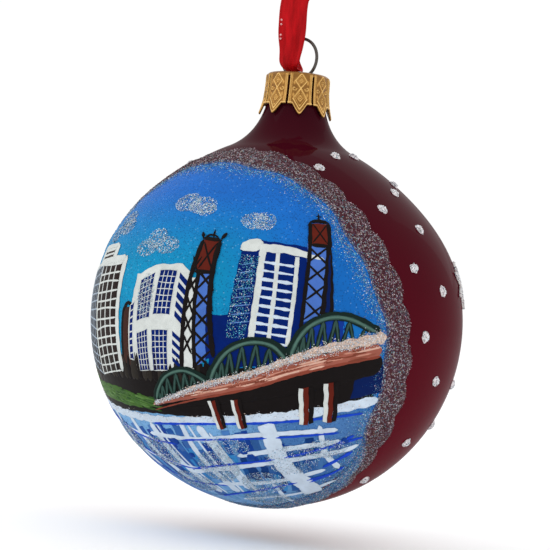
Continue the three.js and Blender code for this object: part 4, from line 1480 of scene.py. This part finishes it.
# The bridge: three dark green arches with slanting posts, a snowy deck, a black beam and piers.
bridge = Coat()
arches = [
    ([(-5, -27), (-3, -23), (1, -18.5), (7, -16.2), (12, -17), (17, -19.5)], 1.15),
    ([(15.4, -19.6), (17.5, -14.6), (21.5, -9.4), (28, -6.2), (35, -6.6), (40.5, -11.2)], 1.35),
    ([(38.6, -10.4), (40.5, -5), (44, -0.4), (50, 2.6), (57, 2.6), (66, -0.6)], 1.5),
]
for corners, width in arches:
    outer = curve_through(corners, 8)
    middle = outer.mean(0) - np.array([0, 1.5])
    inner = middle + (outer - middle) * 0.8
    foot = np.interp(inner[:, 0], [-6, 4, 13, 29, 39, 50, 68], [-28, -25, -21.6, -17, -12.6, -8.4, -3.6])
    ups = np.linspace(0.05, 0.95, 14) * (len(inner) - 1)
    along = np.arange(len(inner))
    lons, tops, feet = (np.interp(ups, along, row) for row in (inner[:, 0], inner[:, 1], foot))
    for k in range(len(ups) - 1):
        ends = [(lons[k], feet[k]), (lons[k + 1], tops[k + 1])]
        if k % 2:
            ends = [(lons[k], tops[k]), (lons[k + 1], feet[k + 1])]
        stroke(bridge, ends, 0.85, DARK_GREEN, 0.27, height=0.06, wobble=0.14)
        stroke(bridge, ends, 0.4, GREEN, 0.32, height=0.05, wobble=0.2)
    stroke(bridge, outer[::8], width, DARK_GREEN, 0.31, height=0.08)
    for share, thin, shade, lift, height in [
        (0.83, 0.5, DARK_GREEN, 0.33, 0.06),
        (0.9, 0.62, GREEN, 0.36, 0.06),
        (0.905, 0.3, PALE_GREEN, 0.41, 0.05),
    ]:
        line = middle + (outer - middle) * share
        stroke(bridge, line[::8], width * thin, shade, lift, height=height)
top_line = [(-6, -27.5), (4, -23.5), (13, -19.8), (29, -14.6), (39, -10.2), (50, -5.8), (68, -1.2)]
low_line = [(-6, -28), (13, -22.6), (29, -18), (40, -13.6), (51, -9.8), (67, -5.6)]
beam = [(-6, -28.6), (13, -25), (29, -21), (44, -16.6), (56, -12.6), (68, -9)]
stroke(bridge, beam, (0.6, 2.4, 4.4, 5.0, 4.6), BLACK, 0.2, height=0.05, wobble=0.03)
stroke(bridge, low_line, (0.8, 2.2, 2.8, 3.0, 2.6), SALMON, 0.34, height=0.1, wobble=0.06)
shadow, snow_edge = np.array(low_line) + [0, -1.9], np.array(top_line) + [0, -0.7]
stroke(bridge, shadow, (0.2, 0.5, 0.6, 0.5), paint(128, 62, 48), 0.4, height=0.04, wobble=0.2)
snow_width = (0.3, 0.7, 1.1, 1.6, 2.2)
stroke(bridge, snow_edge, snow_width, paint(206, 178, 160), 0.4, height=0.12, wobble=0.2)
piers = [
    (15.2, -25.0, 17.6, -34.2, 2.0),
    (22.6, -24.0, 25.0, -33.2, 1.9),
    (43.0, -18.6, 45.2, -30.0, 2.6),
    (50.4, -16.6, 52.8, -28.6, 2.6),
]
streaks = paints((186, 128, 110), (118, 60, 46), (206, 164, 146), (140, 78, 62))
for k in range(70):
    share = draws.uniform(0.05, 0.9)
    lon0 = -6 + 73 * share
    low = np.interp(lon0, *np.array(low_line).T)
    lat0 = low + draws.uniform(-1.9, 1.7) * share
    run = draws.uniform(3, 9)
    slope = (np.interp(lon0 + run, *np.array(low_line).T) - low) / run
    ends = [(lon0, lat0), (min(lon0 + run, 67), lat0 + slope * run)]
    stroke(bridge, ends, 0.4, streaks[k % 4], 0.42, height=0.04)
# Each pier has a white, a rust-brown and a black side. An edge of a side is its place across the
# pier, in steps, then how far its foot and its head are raised.
pier_sides = [
    ((0, 0, 0), (1, -0.2, 0), WHITE),
    ((1, -0.2, 0), (2.1, 0.2, 0.4), RUST),
    ((2.1, 0.2, 0.4), (3.1, 0.8, 0.8), BLACK),
]
for lon0, lat0, lon1, lat1, wide in piers:
    step = wide / 1.8
    for (near, near_foot, near_head), (far, far_foot, far_head), shade in pier_sides:
        feet = [(lon1 + near * step, lat1 + near_foot), (lon1 + far * step, lat1 + far_foot)]
        heads = [(lon0 + far * step, lat0 + far_head), (lon0 + near * step, lat0 + near_head)]
        panel(bridge, feet + heads, shade, 0.3)
bridge.make("river_bridge", gouache)


# --- glitter -------------------------------------------------------------------------------------


def flakes(name, towards, lift, size, lean, tints, slot):
    """Four-sided foil flakes, each a small pyramid with its flat side out and its tip towards the
    glass. The corners are centre +- half of one axis and +- half of the other, and the flat side
    leans by a normal draw of the given spread."""
    count = len(towards)
    centre = near_ball(towards, lift)
    normal = unit(towards + draws.normal(0, lean, (count, 3)))
    spin = draws.normal(0, 1, (count, 3))
    first = unit(np.cross(normal, spin))
    second = np.cross(normal, first)
    half = (size * draws.uniform(0.7, 1.25, count))[:, None] / 2
    stretch = draws.uniform(0.75, 1.0, count)[:, None]
    corners = [first, second * stretch, -first, -second * stretch]
    points = np.stack([centre + corner * half for corner in corners] + [centre - normal * half * 0.7], 1)
    base = np.arange(count)[:, None] * 5
    quads = base + np.array([[0, 1, 2, 3]])
    sides = ([1, 0, 4], [2, 1, 4], [3, 2, 4], [0, 3, 4])
    tris = np.concatenate([base + np.array([side]) for side in sides])
    colours = np.repeat(tints, 5, axis=0)
    piece = make_piece(name, points.reshape(-1, 3), [quads, tris], foil, smooth=False, colours=colours)
    finish_piece(piece, "ball", slot)


def picked(shades, shares, count):
    """A colour for each flake, drawn from a few shades in given shares, some brighter than others."""
    shades = np.array(shades)
    shares = np.array(shares, float) / sum(shares)
    tints = shades[draws.choice(len(shades), count, p=shares)]
    tints[:, :3] *= draws.uniform(0.35, 1.1, (count, 1))
    return np.clip(tints, 0, 1)


SILVER = paints((228, 236, 244), (170, 188, 208), (112, 128, 152), (246, 250, 255))
COOL = paints((120, 210, 232), (56, 160, 208), (190, 226, 240), (70, 100, 180))
WARM = paints((190, 84, 118), (132, 46, 74), (206, 146, 168), (84, 20, 40), (150, 88, 84))


def ring_place(far, around):
    """The unit vector at an angle from the picture's middle, and an angle round it."""
    far, around = np.radians(far), np.radians(around)
    sideways = np.cos(around)[..., None] * east_way + np.sin(around)[..., None] * north_way
    return middle_way * np.cos(far)[..., None] + sideways * np.sin(far)[..., None]


def border_edges(around):
    """The border's inner and outer edge, in degrees from the picture's middle: both waver, and the
    outer one is scalloped in thirty lobes."""
    turn = np.radians(around)
    inner = 67.3 + 0.9 * np.sin(7 * turn + 1) + 0.5 * np.sin(17 * turn)
    inner = inner + 2.2 * ease(-np.sin(turn), 0.5, 1.0)
    outer = 75.6 + 1.9 * np.abs(np.sin(15 * turn)) ** 0.8 + 0.4 * np.sin(5 * turn + 2)
    return inner, outer


BORDER_FLAKES = 31000


def make_border():
    """The glitter border: a lumpy band round the picture whose section is sqrt(1 - (2v - 1)6), blue
    along its inner edge and all over its foot and wine-red elsewhere, with foil flakes over it. Some
    flakes are thrown past its inner edge."""
    around = np.arange(0, 360, 0.75)
    turn = np.radians(around)
    v = np.linspace(0, 1, 15)[:, None]
    inner, outer = border_edges(around)
    far = inner + (outer - inner) * v
    lumps = 0.5 + 0.25 * np.sin(turn * 61 + far * 2.1) + 0.25 * np.sin(turn * 38 - far * 3.3)
    lift = 0.05 + np.sqrt(np.clip(1 - (2 * v - 1) ** 6, 0, 1)) * (0.14 + 0.16 * lumps)
    towards = ring_place(far, around + 0 * far)
    edge = ease(v - 0.8 * ease(-np.sin(turn), 0.45, 0.9), -0.08, 0.14)[..., None]
    tint = np.array(paint(20, 84, 140)) * (1 - edge) + np.array(paint(66, 8, 26)) * edge
    points = two_sides(near_ball(towards, lift), near_ball(towards, np.full(lift.shape, -0.05)))
    faces = outward(points - BALL_CENTRE, [slab_faces(*lift.shape, wrap=True)])
    bed = make_piece("border_bed", points, faces, paste, colours=two_sides(tint, tint))
    finish_piece(bed, "ball", "border_glitter", "glitter_border")
    count = BORDER_FLAKES
    around = draws.uniform(0, 360, count)
    turn = np.radians(around)
    inner, outer = border_edges(around)
    v = draws.beta(1.15, 1.0, count) * 1.26 - 0.23
    far = inner + (outer - inner) * v
    crown = np.sqrt(np.clip(1 - (2 * np.clip(v, 0, 1) - 1) ** 6, 0, 1))
    lumps = 0.5 + 0.25 * np.sin(turn * 61 + far * 2.1)
    lift = 0.09 + crown * (0.14 + 0.16 * lumps) + draws.uniform(0, 0.08, count)
    warm = picked(WARM + SILVER, [6, 8, 2, 8, 1, 1, 0, 1, 1], count)
    cool = picked(COOL + SILVER, [4, 5, 2, 3, 1, 2, 3, 1], count)
    is_warm = v + draws.normal(0, 0.1, count) > 0.06 + 0.86 * ease(-np.sin(turn), 0.45, 0.9)
    tints = np.where(is_warm[:, None], warm * 0.3, cool)
    tints[draws.uniform(0, 1, count) < 0.1] = paint(228, 200, 212)
    flakes("border_flakes", ring_place(far, around), lift, 0.19, 0.5, tints, "border_glitter")


make_border()


def scattered(lon, lat, wide, tall, count):
    """Places thrown over an oval, thicker in its middle."""
    far = np.sqrt(draws.uniform(0, 1, count)) ** 0.9
    turn = draws.uniform(0, 2 * math.pi, count)
    return lon + wide * far * np.cos(turn), lat + tall * far * np.sin(turn)


def make_picture_glitter():
    """Glitter over parts of the picture: clouds, snow on the deck and the shore, lit windows, the
    dark flank, ripples, and a thin scatter beside the border."""
    lons, lats, lifts, tints = [], [], [], []

    def throw(lon, lat, lift, shades, shares):
        """Adds flakes at places, a little over a lift, in shades drawn by their shares."""
        lons.append(lon)
        lats.append(lat)
        lifts.append(lift + draws.uniform(0, 0.06, len(lon)))
        tints.append(picked(shades, shares, len(lon)))

    sky_mix = (SILVER + COOL, [5, 4, 2, 4, 2, 1, 4, 1])
    clouds = [
        (-33, 27.6, 5.6, 3.4), (-29, 25.0, 4.6, 3.0), (-36, 22.4, 4.4, 3.0), (-3.6, 35, 5.6, 3.8),
        (3.6, 34, 5.8, 3.4), (6, 32.4, 4.0, 2.4), (-11.6, 18.2, 4.6, 2.8), (-8.4, 21.4, 4.2, 3.4),
        (-3.4, 19.4, 4.8, 2.8), (24.6, 29.4, 4.6, 3.0), (28, 29.6, 4.0, 3.2), (-52, 20, 4.6, 3.0),
        (-44, 32, 4.0, 2.4),
    ]
    for lon, lat, wide, tall in clouds:
        throw(*scattered(lon, lat, wide, tall, int(34 * wide * tall)), 0.06, *sky_mix)
    throw(*scattered(-7, 4, 3.2, 6.4, 420), 0.24, *sky_mix)
    flank_lat = draws.uniform(-6, 18, 1100)
    flank_mix = (COOL + paints((40, 140, 150), (228, 236, 244)), [3, 5, 1, 2, 5, 2])
    throw(draws.uniform(22.8, 28.4, 1100) - (18 - flank_lat) * 0.09, flank_lat, 0.22, *flank_mix)
    share = draws.uniform(0, 1, 4200)
    deck_lon = -5 + 73 * share
    deck = np.interp(deck_lon, [-6, 4, 13, 29, 39, 50, 68], [-28, -24.6, -21, -16, -11.4, -7, -2.4])
    snow = (SILVER + paints((240, 214, 196), (196, 150, 128)), [5, 3, 1, 6, 3, 1])
    throw(deck_lon, deck + draws.normal(0.6, 1.1, 4200) * (0.3 + 0.7 * share), 0.5, *snow)
    shore_lon = draws.uniform(-60, 66, 500)
    shore_lat = np.interp(shore_lon, [-60, -36, -8, 16, 42, 68], [-23, -31.4, -33, -31, -27, -21])
    throw(shore_lon, shore_lat + draws.normal(0, 0.7, 500), 0.2, *snow)
    patches = [
        (-36, -42, 9, 6, 1040), (-14, -46, 10, 6, 1320), (14, -50, 10, 7, 1520), (46, -44, 11, 6, 800),
        (36, -56, 12, 6, 1200), (-8, -60, 14, 6, 1120), (40, -67, 18, 5, 1200), (58, -38, 8, 4, 640),
        (20, -40, 9, 3, 480),
    ]
    for lon, lat, wide, tall, count in patches:
        throw(*scattered(lon, lat, wide, tall, count), 0.24, *sky_mix)
    lon, lat = np.concatenate(lons), np.concatenate(lats)
    towards = direction(lon, lat)
    inside = towards @ middle_way > math.cos(math.radians(PICTURE_EDGE))
    lift, tint = np.concatenate(lifts), np.concatenate(tints)
    count = 8000
    beside = draws.uniform(0, 360, count)
    inner, _ = border_edges(beside)
    near = ring_place(inner - 0.8 - np.abs(draws.normal(0, 2.4, count)), beside)
    towards = np.concatenate([towards[inside], near])
    lift = np.concatenate([lift[inside], np.full(count, 0.12)])
    tint = np.concatenate([tint[inside], picked(COOL + SILVER, [4, 6, 2, 3, 1, 3, 3, 1], count)])
    flakes("picture_flakes", towards, lift, 0.2, 0.3, tint, "snow_glitter")


make_picture_glitter()


DOT_RADIUS = 1.12
FROST_MIX = (SILVER + [paint(226, 206, 210)], [6, 1, 0, 10, 2])


def make_dots():
    """Snow dots: each a lumpy dome 0.55 (1 - r2.5) mm high, where its CAD bead is, with foil flakes."""
    names = [f"snow_dot_{k:02d}" for k in range(1, 39)]
    coat = Coat()
    places, lifts = [], []
    x, y = round_grid(11)
    far, turn = np.clip(np.hypot(x, y), 0, 1), np.arctan2(y, x)
    count = 46
    for name in names:
        towards = unit(sum(cad_box(name)) / 2 - BALL_CENTRE)
        first = unit(np.cross(towards, [0.3, 0.2, 1.0]))
        second = np.cross(towards, first)
        phase = draws.uniform(0, 6, 2)
        size = DOT_RADIUS * (1 + 0.12 * np.sin(2 * turn + phase[0]) + 0.08 * np.sin(5 * turn + phase[1]))
        side = (x * size)[..., None] * first + (y * size)[..., None] * second
        spread = unit(towards * BALL_RADIUS + side)
        lump = 0.06 * np.sin(7 * x + phase[0]) * np.sin(6 * y + phase[1])
        lift = 0.04 + (0.55 + lump) * (1 - far**2.5)
        lower = near_ball(spread, np.full(lift.shape, -0.05))
        coat.lay(near_ball(spread, lift), lower, paint(226, 220, 222))
        r, a = np.sqrt(draws.uniform(0, 1, count)) * 1.08, draws.uniform(0, 2 * math.pi, count)
        side = (r * np.cos(a))[:, None] * first + (r * np.sin(a))[:, None] * second
        places.append(unit(towards * BALL_RADIUS + side))
        lifts.append(0.1 + 0.56 * (1 - np.clip(r / DOT_RADIUS, 0, 1) ** 2.5))
    bed = coat.make("snow_dots", paste, "snow_glitter")
    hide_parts(*names)
    places, lifts = np.concatenate(places), np.concatenate(lifts)
    tints = picked(*FROST_MIX, len(places)) ** 0.6
    flakes("snow_dot_flakes", places, lifts, 0.34, 0.4, tints, "snow_glitter")


make_dots()


def make_stars():
    """Painted stars: three crossing strokes each, where the CAD stars are, with foil flakes."""
    names = ["star_right", "star_back", "star_left"]
    coat = Coat()
    places = []
    reach = np.linspace(-5.25, 5.25, 9)[:, None] / BALL_RADIUS
    for name in names:
        lon, lat = lon_lat(unit(sum(cad_box(name)) / 2 - BALL_CENTRE))
        centre, east = direction(lon, lat), direction(lon + 90, 0)
        north = np.cross(centre, east)
        for k in range(3):
            turn = math.radians(90 + 60 * k)
            way = east * math.cos(turn) + north * math.sin(turn)
            side = np.cross(centre, way)
            lons, lats = lon_lat(unit(centre + reach * way))
            lons = lon + (lons - lon + 180) % 360 - 180
            corners = np.stack([lons, lats], -1)
            stroke(coat, corners, 1.25, paint(214, 210, 208), 0.08 + 0.06 * k, height=0.4)
            for _ in range(110):
                along, across = draws.uniform(-5.2, 5.2), draws.normal(0, 0.28)
                places.append(unit(centre + (along * way + across * side) / BALL_RADIUS))
    bed = coat.make("star_strokes", paste, "snow_glitter")
    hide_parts(*names)
    places = np.array(places)
    tints = picked(*FROST_MIX, len(places)) ** 0.6
    flakes("star_flakes", places, np.full(len(places), 0.52), 0.3, 0.35, tints, "snow_glitter")


make_stars()


# --- the floor, the sizes and the end ------------------------------------------------------------


def make_floor():
    """A wide flat sheet of paper 7 mm under the ball. It follows the ball's body up and down, so that
    a ball drawn down off its cap doesn't sink into it."""
    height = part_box("glass_ball")[0].z / MM - FLOOR_GAP
    reach = np.linspace(-30000, 30000, 9)
    u, v = np.meshgrid(reach, reach)
    upper = np.stack([u, v, np.full(u.shape, height)], -1)
    points = two_sides(upper, upper - np.array([0, 0, 2.0]))
    faces = outward(points, [slab_faces(9, 9)])
    floor = make_piece("floor", points, faces, make_floor_paper(), smooth=False)
    floor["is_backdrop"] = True
    follow = floor.constraints.new("COPY_LOCATION")
    follow.target = glass
    follow.use_x, follow.use_y = False, False
    follow.use_offset = True


make_floor()
low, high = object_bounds()
